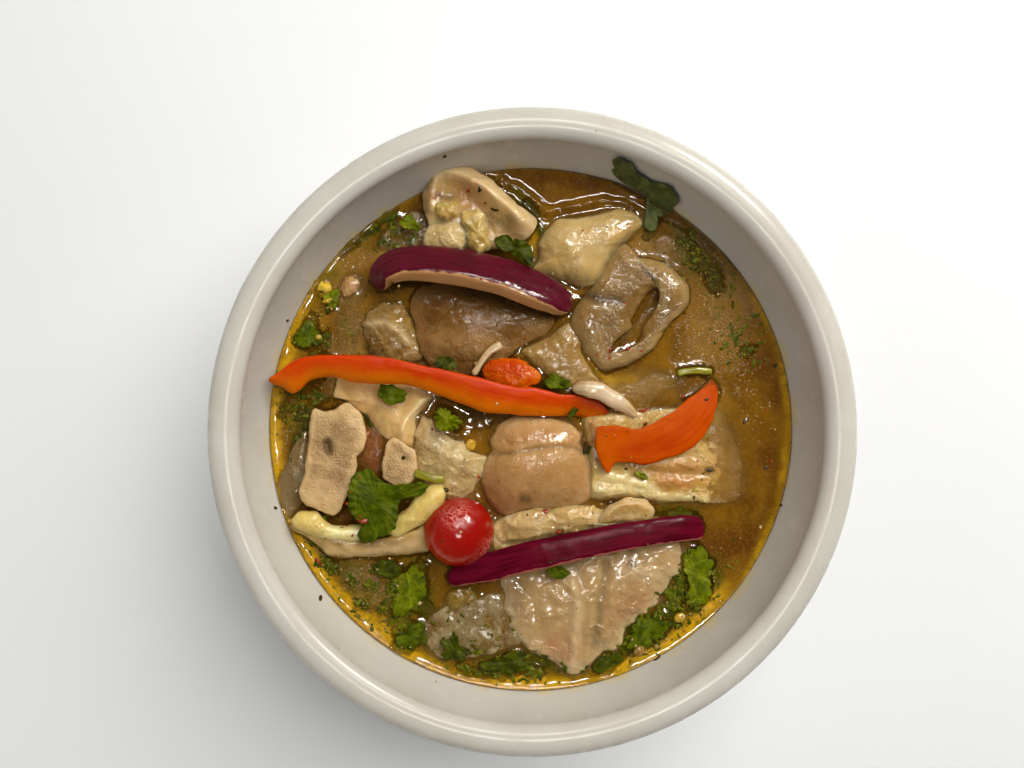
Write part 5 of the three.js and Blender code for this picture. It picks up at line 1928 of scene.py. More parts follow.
        0, 2, 3), ridges=(Trace((-31.8, 10, -34.4, 8, -37, 5.2, -39.4, 2.4, -40.6, -0.6, -40.4,
        -4), 1.5, 1.1), Trace((-37, 11, -41, 6, -46, 3), -0.5, 2),), pale=(Trace((-31.8, 10, -34.4,
        8, -37, 5.2, -39.4, 2.4, -40.6, -0.6, -40.4, -4), 0.9, 1.3),), dark=(Trace((-36, 12, -41,
        12.4, -48, 13), 0.15, 2), Trace((-50, 5, -47, 1), 0.3, 2.4),), round=0.4, coarse=(0.25, 5)),
    Slice("trough_fat_right", CREAM_FAT, "fat", thick=(3, 4.4, 5, 5, 4), coarse=(0.2, 4),
        upper=(-46, -32.5, -43.5, -29.5, -41.5, -27, -38.5, -24.5, -36.5, -21.5, -33.5, -19, -31,
        -17.5, -28, -17.5, -26.5, -19.5), lower=(-46, -32.5, -43, -34, -41.5, -34, -37.5, -32, -33,
        -29.5, -29, -26, -27, -23, -26.5, -19.5), levels=(54.4, 55, 55.6, 55.8, 55.6), arch=0.5,
        limit=-2, cap=1, square=0.75),
    Lump("mid_jelly", CLEAR_JELLY, "jelly", outline=(-37, -1.5, -36, 0.5, -34, 4, -31.5, 3.5, -30,
        1, -27.5, -0.5, -24.5, -2, -21.5, -4, -19.5, -7, -15.5, -8.5, -13.5, -9, -13, -11, -14,
        -14, -16, -16.5, -17.5, -18.5, -20, -21.5, -23, -22.5, -28, -21.5, -33, -18.5, -37, -14.5,
        -37, -8), crown=3.4, depth=10, swells=(-24, -9, 1, 6), ragged=0.8, ridges=(Trace((-34, -4,
        -28, -8, -20, -10), 0.8, 2), Trace((-30, -2, -24, -6), -0.6, 1.4),), pale=(Trace((-30, -4,
        -22, -8), 0.4, 3),), coarse=(0.3, 4.5), wrinkle=(0.25, 4.5), fine=(0.16, 1.1)),
    Slice("trough_fat_left", CREAM_FAT, "fat", coarse=(0.2, 4.5), upper=(-75.5, -29, -74.5, -27.5,
        -73, -26, -70, -26, -67.5, -26, -65.5, -28, -63, -30, -59, -30.5, -55, -30, -51, -30.5,
        -49.5, -33), lower=(-75.5, -29, -74.5, -31, -71, -33, -67, -34.5, -62, -35.5, -56, -36,
        -52, -35.5, -49.5, -33), levels=(55.2, 55.6, 55, 54.4, 54, 54), thick=(4, 5, 4.4, 3.6, 3),
        arch=0.5, limit=-2, cap=1, square=0.75, pale=(Trace((-62, -33, -55, -33.4), 0.8, 2.6),)),
    Slice("trough_skin", TAN_SKIN, "skin", thick=(3, 4.4, 4.4, 4, 3.6), coarse=(0.4, 4),
        upper=(-75.5, -30.5, -74, -30.5, -71, -31.5, -66, -32, -60, -34, -54, -35, -48, -34.5, -42,
        -33.5, -36, -31.5, -33, -30, -31, -30.5, -30.5, -34), lower=(-75.5, -30.5, -74.5, -32,
        -71.5, -33.5, -68, -35.5, -66, -37.5, -63.5, -39.5, -60, -40.5, -54.5, -40.5, -49, -40,
        -40, -39.5, -35.5, -39, -32, -38, -30.5, -34), levels=(53, 53.4, 53.4, 53.2, 53, 53),
        tilt=(0.8, 1.4, 1.4, 1), arch=0.4, limit=-2, cap=1, wrinkle=(0.2, 4), pale=(Trace((-64,
        -38.6, -55, -39.4, -42, -37.4, -35, -36), 0.6, 1.6),), dark=(Trace((-62, -35.6, -52, -36.6,
        -42, -35.6), 0.35, 1.3),)),
    Lump("grey_skin", GREY_SKIN, "skin", outline=(-70.5, 0.5, -74.5, -5, -77, -11, -79.5, -15,
        -79.5, -23, -77.5, -28.5, -72, -24, -70, -14), level=52.4, crown=2.2, depth=6,
        coarse=(0.35, 4)),
    Lump("cup_fat_left", CUP_FAT, "fat", outline=(-30, 70.6, -27, 71.4, -23.5, 70.4, -23, 67.4,
        -26.6, 66.3, -29, 67.6), level=57.4, depth=3, coarse=(0.6, 1.8), fine=(0.3, 0.8), ragged=1),
    Lump("cup_fat_right", CUP_FAT, "fat", outline=(-21.5, 66.5, -17.5, 69, -14.5, 68, -14.5, 62,
        -11.5, 57, -15, 55, -19.5, 57, -20, 61.5), level=57, depth=4, coarse=(0.6, 2.2), fine=(0.3,
        0.9), ragged=1),
    Lump("cup_jelly", CLEAR_JELLY, "jelly", outline=(-31, 64.5, -26, 66, -21, 65.5, -19.5, 61, -21,
        56.5, -28, 56, -33, 57, -33.5, 61), level=55, crown=3.4, depth=6, coarse=(0.3, 3.5)),
    # cup_skin: the first two dark bands are painted shade, on its shaded left side and in a groove
    Lump("cup_skin", TAN_SKIN, "skin", outline=(-30.5, 81.5, -29, 83, -26, 84, -22.5, 83.5, -19,
        82.5, -15.5, 80.5, -12, 78.5, -9.5, 76, -6, 73, -2.5, 70, 0, 68, 2, 66, 2, 63.5, 0, 61, -2,
        59.5, -7, 58, -12, 56.5, -19, 56, -26, 57.5, -30, 60, -32, 65, -33.5, 70, -34, 72.5, -33.5,
        75, -32, 78), level=54.5, depth=9, round=0.5, swells=(-23, 80, 1.5, 6, -14, 76.6, 2.5, 6,
        -6, 69.8, 3, 6, -2, 63.6, 2.4, 4), ridges=(Trace((-31.6, 70, -31.6, 75, -30, 79, -28, 81.2,
        -24, 81.6, -20, 80, -15, 77.4, -10, 73.6, -5, 69.4, -1, 65.4), 2.2, 2), Trace((-27, 77,
        -22, 75, -17, 72, -14, 69), -2.2, 3.6), Trace((-13, 65, -8, 64), -1.2, 3), Trace((-28, 74,
        -24, 73), -0.9, 1.6),), pale=(Trace((-29, 80.4, -24, 81.6, -20, 80, -15, 77.4, -10, 73.6,
        -5, 69.4, -1, 65.4, -0.5, 62.5), 0.9, 2.2), Trace((-22, 64, -28, 63), 0.5, 3),),
        dark=(Trace((-32.6, 69, -33, 74, -31.6, 78), 0.55, 1.4), Trace((-29, 73.4, -25, 72.6), 0.5,
        1.3), Trace((-13, 66, -8, 64, -7, 66), 0.4, 2.2), Trace((-10, 58.6, -8, 57), 0.5, 1.6),),
        warm=(Trace((-20, 75, -17, 71, -20, 68), 0.55, 4), Trace((-31, 73, -29, 74), 0.5, 2),),
        coarse=(0.25, 6), wrinkle=(0.12, 5)),
    Lump("skin_behind", GREY_SKIN, "skin", outline=(-47, 57, -46.5, 61, -42, 64.5, -37, 68.5, -32,
        67, -33, 61, -32.5, 57, -40, 55), level=52.3, crown=1, depth=4, round=0.45, coarse=(0.4,
        3.5)),
    # knuckle: the first pale band is painted sheen where its glints cluster; the first dark band is
    # painted shade in the groove by the ring
    Lump("knuckle", KNUCKLE_SKIN, "skin", outline=(1, 50, 2.5, 53, 2.5, 57.5, 3.5, 60.5, 6, 64,
        8.5, 66, 15, 66, 19, 67, 24.5, 68.5, 28, 69.5, 32, 68, 35.5, 65, 33.5, 62, 31, 59.5, 28.5,
        57.5, 26.5, 54.5, 24.5, 50.5, 22, 46, 17, 44.5, 12, 45.5, 6.5, 47.5), crown=5, depth=12,
        ridges=(Trace((31, 59.6, 27.4, 57.4, 25, 53, 23, 49, 20.6, 45.6), -0.9, 1.4), Trace((20,
        66, 22, 60, 22, 54, 19, 48), -0.5, 2.5), Trace((10, 62, 14, 56, 17, 50), 0.8, 4),),
        pale=(Trace((18, 54, 22, 58), 0.4, 4), Trace((8, 60, 14, 64, 20, 65), 0.35, 3),),
        dark=(Trace((31, 59.6, 27.4, 57.4, 25, 53, 23, 49, 20.6, 45.6), 0.45, 1.2), Trace((6, 48,
        14, 47.2, 18, 47), 0.4, 1.4),), coarse=(0.3, 7), fine=(0.1, 1)),
    # ring_skin: the pale bands along its outer rim and lower edge are paler skin and painted
    # highlight where glints cluster; the dark bands are broth stain and painted shade in the fold
    Ring("ring_skin", RING_SKIN, "skin", outline=(13, 30, 13, 35, 15.5, 40.5, 19, 45, 23, 50, 26,
        55.5, 29, 58, 31, 57.5, 31, 55, 34, 54, 38, 53.5, 41, 52.5, 43.5, 51, 46, 49, 48.5, 47, 50,
        44.5, 50, 41.5, 49.5, 39, 47.5, 36.5, 45, 34.5, 43, 31.5, 41, 29, 39.5, 26, 37.5, 24, 34.5,
        22, 30.5, 20, 26.5, 19, 24.5, 18, 22, 18.5, 20, 20.5, 19, 22, 17, 24.5, 16, 27, 14.5, 29),
        crown=3.2, depth=9, swells=(45, 44, 1.5, 7, 20, 38, 1, 8), hole=(39.1, 44.2, 41.5, 43.7,
        44.3, 41.4, 44.9, 39.5, 43.2, 37.5, 40, 36.1, 37, 34.2, 35.3, 31.8, 34.9, 29.3, 32.5, 26.3,
        29.4, 24.9, 26.1, 24.2, 23.8, 25.5, 24.1, 27.8, 26.1, 29.2, 29.8, 30.3, 31.8, 31.8, 31.8,
        34.3, 33.2, 36.7, 34.8, 39.7, 36.4, 42.1), pale=(Trace((31, 53, 37, 52.4, 43, 50.4, 47.6,
        46.4, 48.8, 41), 0.35, 1.6), Trace((46, 36, 41, 29.5, 37, 24.6, 31, 21, 24.6, 19, 20, 22),
        0.4, 1.3), Trace((19, 24, 20, 28, 22, 32), 0.3, 2.4),), dark=(Trace((17, 42, 22, 41, 28,
        40.4), 0.65, 1.7), Trace((18, 45, 20, 43), 0.5, 1.6),), ragged=0.4, coarse=(0.2, 7),
        fine=(0.04, 1), ridges=(Trace((13, 31, 15, 27, 17, 24, 20, 20), -0.4, 1.2), Trace((17, 42,
        22, 41, 28, 40.4), -0.5, 1.8), Trace((31, 53, 37, 52.6, 43, 50.6, 47.6, 46.4), 0.5, 1.6),
        Trace((20, 28, 22, 22, 28, 21), 0.3, 2),), round=0.5),
    Lump("pale_fat", LOW_FAT, "fat", outline=(-3, 24.5, 1, 27, 6, 29.5, 12.5, 33.5, 16, 30, 16, 24,
        19.5, 18.5, 22, 14.5, 15, 12.5, 8, 15, 1, 20.5), level=52.4, crown=2.6, coarse=(0.25, 5)),
    # gristle: the pale band along its ridge is a painted highlight
    Lump("gristle", GRISTLE, "skin", outline=(-53, 33.5, -50, 38, -46, 40, -41, 39.5, -38, 36, -36,
        30, -34, 22, -42, 20, -49, 22, -52, 28), crown=4.6, depth=9, swells=(-44, 33, 1.2, 4),
        fine=(0.14, 1.2), ragged=0.6, ridges=(Trace((-52, 33, -46, 33.5, -42, 31, -38, 27), 0.9,
        1.2),), pale=(Trace((-52, 33, -46, 33.5, -42, 31, -38, 27), 0.8, 1.4),), coarse=(0.35, 4),
        wrinkle=(0.25, 4)),
    # brown_pad: the dark band along its top is painted shadow of the onion above it
    Lump("brown_pad", BROWN_SKIN, "skin", outline=(-38, 38, -35, 44.5, -28, 46, -18, 44.5, -7,
        41.5, 2, 38.5, 7.5, 34.5, 5.5, 30.5, -1, 27, -8, 22, -20, 17, -31, 19, -35.5, 27, -36.5,
        33), level=53.6, crown=3.2, depth=10, swells=(-20, 29, 2, 9), pale=(Trace((-28, 28, -20,
        27, -12, 27), 0.7, 4), Trace((0, 32, 4, 33), 0.4, 3),), dark=(Trace((-35, 42, -20, 41, -8,
        39, 5, 36), 0.35, 3.5),), coarse=(0.25, 6), fine=(0.12, 1)),
    Lump("pale_block", BLOCK_FAT, "jelly", outline=(19.5, 3, 19.5, -4, 19.5, -12, 20, -19.5, 21,
        -20.5, 25, -21, 30, -20.5, 35, -21.5, 40, -22.5, 50, -23, 60, -23, 65, -22, 66.5, -16,
        65.5, -8, 63, -1, 60, 5, 50, 7, 40, 6, 30, 5, 24, 4.5), level=53.2, crown=1.5, round=0.3,
        lean=(-0.068, -0.015), coarse=(0.45, 5), fine=(0.12, 1.4), ridges=(Trace((20, -19.6, 30,
        -19.4, 40, -21, 55, -22), 0.9, 1.2), Trace((24, -15, 30, -16, 38, -18.6), 0.7, 1.4),
        Trace((40, -11, 46, -11, 52, -11.6), 0.9, 2.2), Trace((42, -16.4, 50, -16.6), 0.9, 2),
        Trace((38, -13.6, 48, -14, 55, -14), -0.7, 1), Trace((61, -22, 63, -12, 62, -2, 56, 4),
        -1.7, 5),), pale=(Trace((20, -19.8, 30, -19.6, 40, -21, 55, -22), 0.8, 1.2), Trace((24,
        -14.6, 30, -16, 38, -18.6), 0.9, 2), Trace((22, -18, 30, -18, 38, -20), 0.5, 3), Trace((54,
        -8, 58, -6), 0.4, 3),), dark=(Trace((33, -13.4, 37, -15), 0.2, 1.5), Trace((55.4, -12.6,
        57.4, -13), 0.7, 0.8),), warm=(Trace((40, -12, 52, -12), 0.45, 3.4), Trace((42, -16.6, 50,
        -16.6), 0.4, 2.6), Trace((20, 2, 20, -5), 0.6, 1.6), Trace((60, 2, 62, -10, 64, -18), 0.3,
        5),)),
    # jelly_slab: the second dark band is painted shade in the groove of its second ridge
    Lump("jelly_slab", SLAB_SKIN, "jelly", outline=(-8.5, -46.5, -4, -45, 6, -42, 20, -39, 34, -37,
        47, -35.5, 47.5, -40, 47.5, -45, 45.5, -46.5, 44, -48, 43, -50, 40.5, -52.5, 40, -55, 37.5,
        -57, 34, -59.5, 31.5, -62, 29.5, -65, 28.5, -68, 26.5, -70, 23.5, -70.5, 20.5, -72.5, 17.5,
        -75, 14.5, -77, 11.5, -76.5, 9, -75.5, 7.5, -73, 4.5, -71.5, 0.5, -70, -2, -68.5, -4.5,
        -65, -6.5, -60, -8, -54, -8.5, -51.5, -9.5, -49), depth=10, round=0.45, swells=(26, -50,
        1.2, 12, 4, -60, 0.8, 10), fine=(0.05, 1.6), ragged=0.7, ridges=(Trace((13, -47, 15, -56,
        14, -66, 13, -75), 0.9, 1.8), Trace((24, -42, 22, -55, 20, -68), -0.8, 1.6), Trace((-4,
        -48, 2, -56, 4, -66), -0.6, 1.8), Trace((32, -44, 36, -52), 0.5, 2),), pale=(Trace((13,
        -47, 15, -56, 14, -66, 13, -75), 0.5, 1.8), Trace((30, -44, 40, -46), 0.4, 3),),
        warm=(Trace((8, -68, 10, -70), 0.6, 4), Trace((28, -56, 34, -54), 0.35, 4),),
        dark=(Trace((32, -42, 32.4, -42.6), 0.8, 1.2), Trace((24, -42, 22, -55, 20, -68), 0.3,
        1.2), Trace((-5, -50, -4, -54), 0.35, 4),), coarse=(0.35, 7), wrinkle=(0.3, 6)),
    Lump("sunken_jelly", SUNK_JELLY, "jelly", outline=(-32.5, -60, -27, -56.5, -18, -53.5, -9, -52,
        -6, -60, -3, -66.5, -10, -70, -20, -72, -30, -71, -33.5, -65), level=52.3, crown=0.9,
        round=0.45, coarse=(0.4, 4.5), sunk=0.3, wrinkle=(0.25, 5), ragged=0.6),
    WallLeaf("leaf_on_wall", WALL_HERB_PAINTED_SHADE, "leaf", outline=(26, 85.5, 26.5, 81, 31, 78, 37, 75.5,
        41.5, 71.5, 38, 66, 35, 61.5, 39.5, 60, 42.5, 66, 46.5, 71, 46, 76, 39, 80, 33, 83, 30.5,
        86.5), teeth=14),
    Leaf("leaf_bright_right", BRIGHT_HERB, "leaf", outline=(47.5, -37, 53, -36, 57.5, -41.5, 57,
        -46, 58, -50, 56, -54, 52, -57, 48.5, -54.5, 49.5, -49.5, 48, -43.5), level=53.2,
        ripple=0.4, bite=0.2),
    Leaf("leaf_far_left", HERB, "leaf", outline=(-75.4, 28.6, -72, 33, -69, 35, -66.4, 31, -65.4,
        27, -69, 25.4, -73.4, 26), level=53.2, ripple=0.4, teeth=11),
    Leaf("leaf_tall_left", BRIGHT_HERB, "leaf", outline=(-64, 44, -60.4, 43.6, -60.6, 39.6, -62.4,
        37.4, -64.8, 39, -65.4, 42), level=53.2, ripple=0.4, teeth=9),
    Leaf("leaf_front_bright", BRIGHT_HERB, "leaf", outline=(-36, -41.5, -33, -47, -33, -51.5, -36,
        -56.5, -40.5, -60, -44, -57.5, -43, -52, -40, -49, -38.5, -45), level=53.2, ripple=0.4,
        bite=0.2),
    Leaf("leaf_front_dark", DARK_HERB, "leaf", outline=(-50.4, -42.4, -45, -41.2, -40.6, -43,
        -41.4, -47, -44.6, -47.6, -48.6, -45.4), level=53.2, ripple=0.4, teeth=10),
    Leaf("leaf_front_low", HERB, "leaf", outline=(-42.5, -65.5, -43, -68, -40, -69.5, -35.5, -68.5,
        -33.5, -64, -34.5, -61, -37.5, -61.5, -39.5, -64), level=53.2, ripple=0.4, teeth=11,
        bite=0.2),
    Leaf("leaf_front_edge", DARK_HERB, "leaf", outline=(-12, -72.5, -6, -70, -1.5, -70, 1, -72, -1,
        -75.5, -6, -77, -13, -77, -17, -74.5), level=53.2, ripple=0.4, teeth=12, bite=0.2),
    Leaf("herbs_right", HERB, "leaf", outline=(29, -66.5, 31, -62.5, 35.5, -58.5, 40.5, -57, 43.5,
        -61, 42.5, -65, 38, -68.5, 32, -70.5), level=53.2, ripple=0.4, bite=0.25),
    Leaf("leaf_under_slab", DARK_HERB, "leaf", outline=(18.6, -75.6, 20, -73, 24, -71.2, 28.6,
        -70.4, 29.4, -72.4, 26, -75.2, 21.4, -76.8), level=53.2, ripple=0.4, teeth=10),
    Strip("stem_right", STALK, "stem", path=(46, 17.6, 52.4, 51, 18.3, 52.9, 57, 18, 52.4),
        width=(2.2, 2.2), coarse=(0.12, 3)),
    Lump("garlic_cube", GARLIC, "root_cubes", outline=(-67.4, 43.6, -66.6, 46.6, -63.4, 46.8,
        -62.6, 44, -64, 41.8, -66.4, 41.6), level=52.2, crown=1.8, depth=2.6, round=0.4,
        coarse=(0.25, 2)),
    Lump("shallot_cube", SHALLOT, "root_cubes", outline=(-59.6, 44, -58.6, 47.4, -55, 48, -53.6,
        45.4, -55.4, 42.6, -59, 41.6), level=52.2, crown=2, depth=2.8, round=0.4, coarse=(0.25, 2)),
    Lump("pulp_cube", PULP, "root_cubes", outline=(-26, -51.4, -22, -50.4, -17.8, -50.6, -17, -54,
        -20.6, -56, -25, -57.2, -27, -54.4), level=52.2, crown=2, depth=2.8, round=0.5,
        coarse=(0.3, 2)),
)


def broth() -> Broth:
    """The broth, with its cloudy, herby, oily, beaded and brown areas; the brown is partly painted
    shade along the shaded rim and between pieces.
    """
    return Broth(
        "broth_surface", Liquor(), "broth",
        bands=(
            ("milky", (
                Trace((-58, 26, -57, 50), 0.55, 5.0), Trace((56, 28, 64, 40), 0.3, 8.0),
                Trace((-56, -46, -44, -54), 0.6, 4.5), Trace((26, 14, 40, 14), 0.45, 4.0),
                Trace((36, 59, 44, 57), 0.4, 4.0), Trace((58, 4, 62, -16), 0.55, 4.0),
                Trace((-46, 52, -40, 60), 0.4, 4.0), Trace((24, 11, 30, 3), 0.5, 3.0),
            )),
            ("herbs", (
                Trace((-77, 12, -70, -2), 0.75, 5.0), Trace((-72, 30, -62, 52, -50, 64), 0.5, 4.0),
                Trace((-62, -42, -50, -58, -36, -70), 0.6, 6.0),
                Trace((-36, -44, -34, -56), 0.7, 6.0),
                Trace((-30, -74, 30, -74), 0.7, 4.0), Trace((30, -68, 40, -62, 56, -46), 0.8, 6.0),
                Trace((48, 60, 60, 48), 0.6, 6.0), Trace((-4, 74, 4, 60), 0.6, 3.0),
                Trace((-28, 4, -16, 4), 0.5, 3.0), Trace((42, -25, 52, -26), 0.5, 2.0),
            )),
            ("oil", (
                Trace((-74, 30, -80, 10, -80, -10, -79, -16), 0.7, 1.5),
                Trace((-76, -32, -68, -44, -56, -58, -42, -68, -30, -75), 0.9, 2.4),
                Trace((-54, -56, -44, -62), 0.5, 4.0), Trace((25, -76, 44, -68, 62, -50), 0.8, 2.2),
                Trace((-10, -79, 10, -80), 0.8, 1.8),
                Trace((16, 26, 19, 20, 24, 16, 32, 15), 0.4, 1.6), Trace((1, 60, 3, 56), 0.6, 2.0),
                Trace((68, -46, 78, -24, 81.4, 4, 78, 26, 70, 42), 0.45, 1.3),
            )),
            ("beads", (
                Trace((-58, 22, -57, 52), 1.0, 7.0), Trace((56, 22, 60, 50), 0.9, 10.0),
                Trace((-52, -44, -46, -60), 1.0, 5.0), Trace((-76, 8, -76, -8), 0.7, 4.0),
                Trace((36, 56, 50, 46), 0.9, 6.0), Trace((-38, 26, -20, 30), 0.5, 6.0),
            )),
            # Brown areas: the broth's own darker colour and painted shade along the shaded rim and
            # in gaps between pieces
            ("brown", (
                Trace((62, 50, 74, 20, 74, -10, 66, -36), 0.55, 9.0),
                Trace((-6, 82, 20, 78), 0.8, 6.0),
                Trace((40, 68, 58, 56), 0.7, 6.0), Trace((54, -34, 62, -40), 0.6, 8.0),
                Trace((-18, 5, -8, 4), 0.8, 3.0), Trace((28, 26, 36, 18), 0.4, 3.0),
            )),
        ),
        ridges=(
            Trace((-8.4, 78.2, -3.6, 75.4, 1.3, 71.8, 5.2, 68.2), 0.75, 1.3),
            Trace((5.2, 68.2, 10.4, 69.4, 17.5, 71.2, 22.7, 72, 28.3, 71.4, 35, 68), 0.65, 1.1),
        ),
    )


def sunk_things() -> list[Food]:
    """The food that lies just under the broth, and the herbs that the photograph shows there."""
    lumps = (
        ("chunk_right", TAN_SKIN, "skin",
            (40, 60.5, 44, 61, 46.6, 58.5, 46, 55.6, 42, 54.6, 39.6, 57), 51.2),
        ("skin_along_wall", BROWN_SKIN, "skin",
            (41, 66.5, 46, 64.5, 51, 60.5, 56, 54.5, 57.5, 55.5, 52, 62.5, 46.5, 67, 42, 68.5),
            51.4),
        ("skin_far_left", BROWN_SKIN, "skin",
            (-60, 22, -56, 20, -54.5, 27, -53, 36, -52, 46, -56, 50, -60, 46, -61, 34), 51.0),
        ("skin_low_left", TAN_SKIN, "skin",
            (-58, -43.5, -50, -42.5, -46, -46, -45, -52, -49, -57, -55, -53, -59, -48), 51.1),
        ("fat_by_block", BLOCK_FAT, "fat",
            (22, 9, 27, 9.5, 31, 7, 34, 5, 38, 8, 42, 12, 46, 15, 40, 18, 32, 15, 26, 13), 51.0),
        ("skin_in_ring", RING_SKIN, "skin",
            (36, 40, 40, 43, 43, 40, 40, 37, 36, 33, 33, 28, 29, 26.4, 28, 28.6, 33, 34), 50.9),
        ("skin_at_joint", BROWN_SKIN, "skin",
            (-20, 5, -14, 5.6, -8, 4.6, -11, 1, -16, 0, -20, 1.6), 51.0),
    )
    flat = dict(
        stands=False, crown=0.9, depth=5.0, round=0.5, coarse=(0.3, 4.0), ragged=0.8, flare=1.5
    )
    made: list[Food] = [
        Lump(name, finish, slot, outline=outline, level=level, **flat)
        for name, finish, slot, outline, level in lumps
    ]
    sprigs = (
        (HERB, -46, -44.6, 5.2, 3.0, -10, 52.0), (BRIGHT_HERB, -36.2, -48.6, 4.4, 4.0, 80, 52.5),
        (BRIGHT_HERB, -40.6, -54.4, 5.6, 3.4, 70, 52.3), (HERB, -39.6, -67.4, 4.0, 3.0, 20, 52.4),
        (HERB, -33.4, -56.2, 4.6, 2.6, 100, 51.6), (BRIGHT_HERB, -34.6, -44.2, 3.0, 2.4, 60, 52.2),
        (DARK_HERB, -77.2, 6.2, 3.2, 2.2, 60, 52.1), (HERB, -67, 10.4, 3.6, 2.2, 0, 52.1),
        (DARK_HERB, -73.6, -9.6, 2.4, 1.6, 10, 53.0), (DARK_HERB, -50.4, 63.4, 4.0, 2.2, 30, 51.9),
        (HERB, -4, -73.6, 6.0, 2.6, 5, 51.8), (DARK_HERB, 3, -72.6, 4.6, 2.2, -30, 51.6),
        (HERB, 1.6, -76.6, 3.6, 1.8, 10, 52.4), (HERB, -14.6, -76.4, 4.4, 2.0, -10, 52.0),
        (HERB, 38.4, -59.6, 4.4, 3.0, 45, 52.0), (DARK_HERB, 34.4, -64.6, 4.6, 2.8, 30, 52.0),
        (BRIGHT_HERB, 42.4, -56.4, 3.4, 2.2, 60, 51.9), (HERB, 40.6, -63, 3.2, 2.2, 20, 52.0),
        (DARK_HERB, 54.6, 52, 6.4, 3.4, -50, 51.6), (HERB, 48.4, 58.6, 3.0, 1.8, -20, 51.8),
        (DARK_HERB, 0.6, 69.4, 3.6, 1.4, -50, 51.9), (HERB, 37.6, 62.6, 3.8, 2.4, -75, 51.5),
        (HERB, 3.6, 62, 3.0, 1.0, -80, 52.2), (DARK_HERB, -69, 34, 3.0, 2.0, 60, 51.8),
        (HERB, -68.6, 22.6, 2.6, 1.6, 30, 51.9), (HERB, 68, 24.6, 2.8, 2.0, 30, 51.7),
        (DARK_HERB, 13.4, 5.2, 2.6, 1.4, 60, 56.0), (DARK_HERB, 18.4, -6.4, 1.8, 1.2, 70, 53.4),
        (HERB, 47, -26.4, 4.2, 1.4, 0, 51.9), (DARK_HERB, -50.6, 3, 3.4, 1.3, -60, 52.6),
        (HERB, -65.4, -28.4, 1.4, 1.0, 0, 56.0), (BRIGHT_HERB, 34.8, -14.6, 2.2, 1.2, -30, 55.4),
        (BRIGHT_HERB, -38.4, -47.2, 5.4, 3.6, 40, 53.0),
        (BRIGHT_HERB, -42.6, -50.6, 4.6, 3.2, 120, 52.6),
        (HERB, -36.8, -52.6, 5.0, 3.6, 95, 52.8), (BRIGHT_HERB, -40.8, -60.4, 5.6, 3.2, 75, 52.3),
        (HERB, -35.4, -63.8, 4.8, 3.2, 110, 52.4), (HERB, -45.6, -56, 3.6, 2.2, 30, 52.1),
        (BRIGHT_HERB, -50.2, -49.4, 3.0, 2.0, -20, 52.2), (HERB, -56.6, -47.8, 3.2, 1.8, -50, 52.1),
        (HERB, -62, -44, 2.6, 1.6, -60, 52.2), (DARK_HERB, -53.4, -55.2, 3.0, 1.6, -40, 52.0),
        (BRIGHT_HERB, 45.4, -52.4, 5.0, 3.4, 80, 52.2), (HERB, 48.6, -47.6, 4.6, 3.2, 100, 52.1),
        (BRIGHT_HERB, 50.8, -41.4, 4.8, 3.6, 85, 52.6), (HERB, 36, -66.6, 4.4, 2.6, 50, 52.1),
        (BRIGHT_HERB, 31.4, -68.6, 3.4, 2.0, 30, 52.0), (HERB, 44.6, -59.6, 3.4, 2.4, 50, 52.1),
        (BRIGHT_HERB, 23.6, -74.4, 3.8, 1.8, 10, 52.3), (HERB, -8.6, -77, 3.8, 1.8, -5, 52.3),
        (BRIGHT_HERB, -1.4, -75, 3.4, 1.6, -10, 52.5),
        (BRIGHT_HERB, -20.4, -75.4, 3.2, 1.6, -20, 52.2),
        (HERB, -74, 12.6, 3.0, 2.0, 40, 52.2), (DARK_HERB, -70.4, 5, 3.4, 2.0, 20, 52.2),
        (HERB, -72.8, -3.6, 2.8, 1.6, 80, 52.3), (HERB, -64.6, 27.6, 3.0, 1.8, 70, 52.1),
        (BRIGHT_HERB, -69.8, 45.2, 3.0, 1.8, 60, 52.0), (DARK_HERB, -57.4, 58, 4.0, 2.4, 40, 52.0),
        (HERB, -45, 66.6, 3.8, 2.2, 20, 52.0), (DARK_HERB, 57.6, 46.4, 5.0, 2.6, -60, 51.6),
    )
    turn = turns(12) - np.pi
    for number, (finish, x, y, long, wide, heading, level) in enumerate(sprigs):
        along, ahead = np.cos(turn) * long, np.radians(heading)
        across = np.sin(turn) * wide * (1 + 0.25 * np.cos(turn * 2 + number))
        east = x + along * np.cos(ahead) - across * np.sin(ahead)
        north = y + along * np.sin(ahead) + across * np.cos(ahead)
        leaf = Leaf(
            f"sprig_{number:02d}", finish, "leaf", stands=False,
            outline=tuple(np.stack((east, north), -1).ravel()), level=level,
            lean=(0.03 * np.sin(number), 0.03 * np.cos(number)),
            lobes=3 + number % 3, teeth=9 + number % 5, lobed=0.5, bite=0.2,
            ripple=0.25, curl=0.12, thick=0.35, veins=3,
        )
        made.append(leaf)
    return made


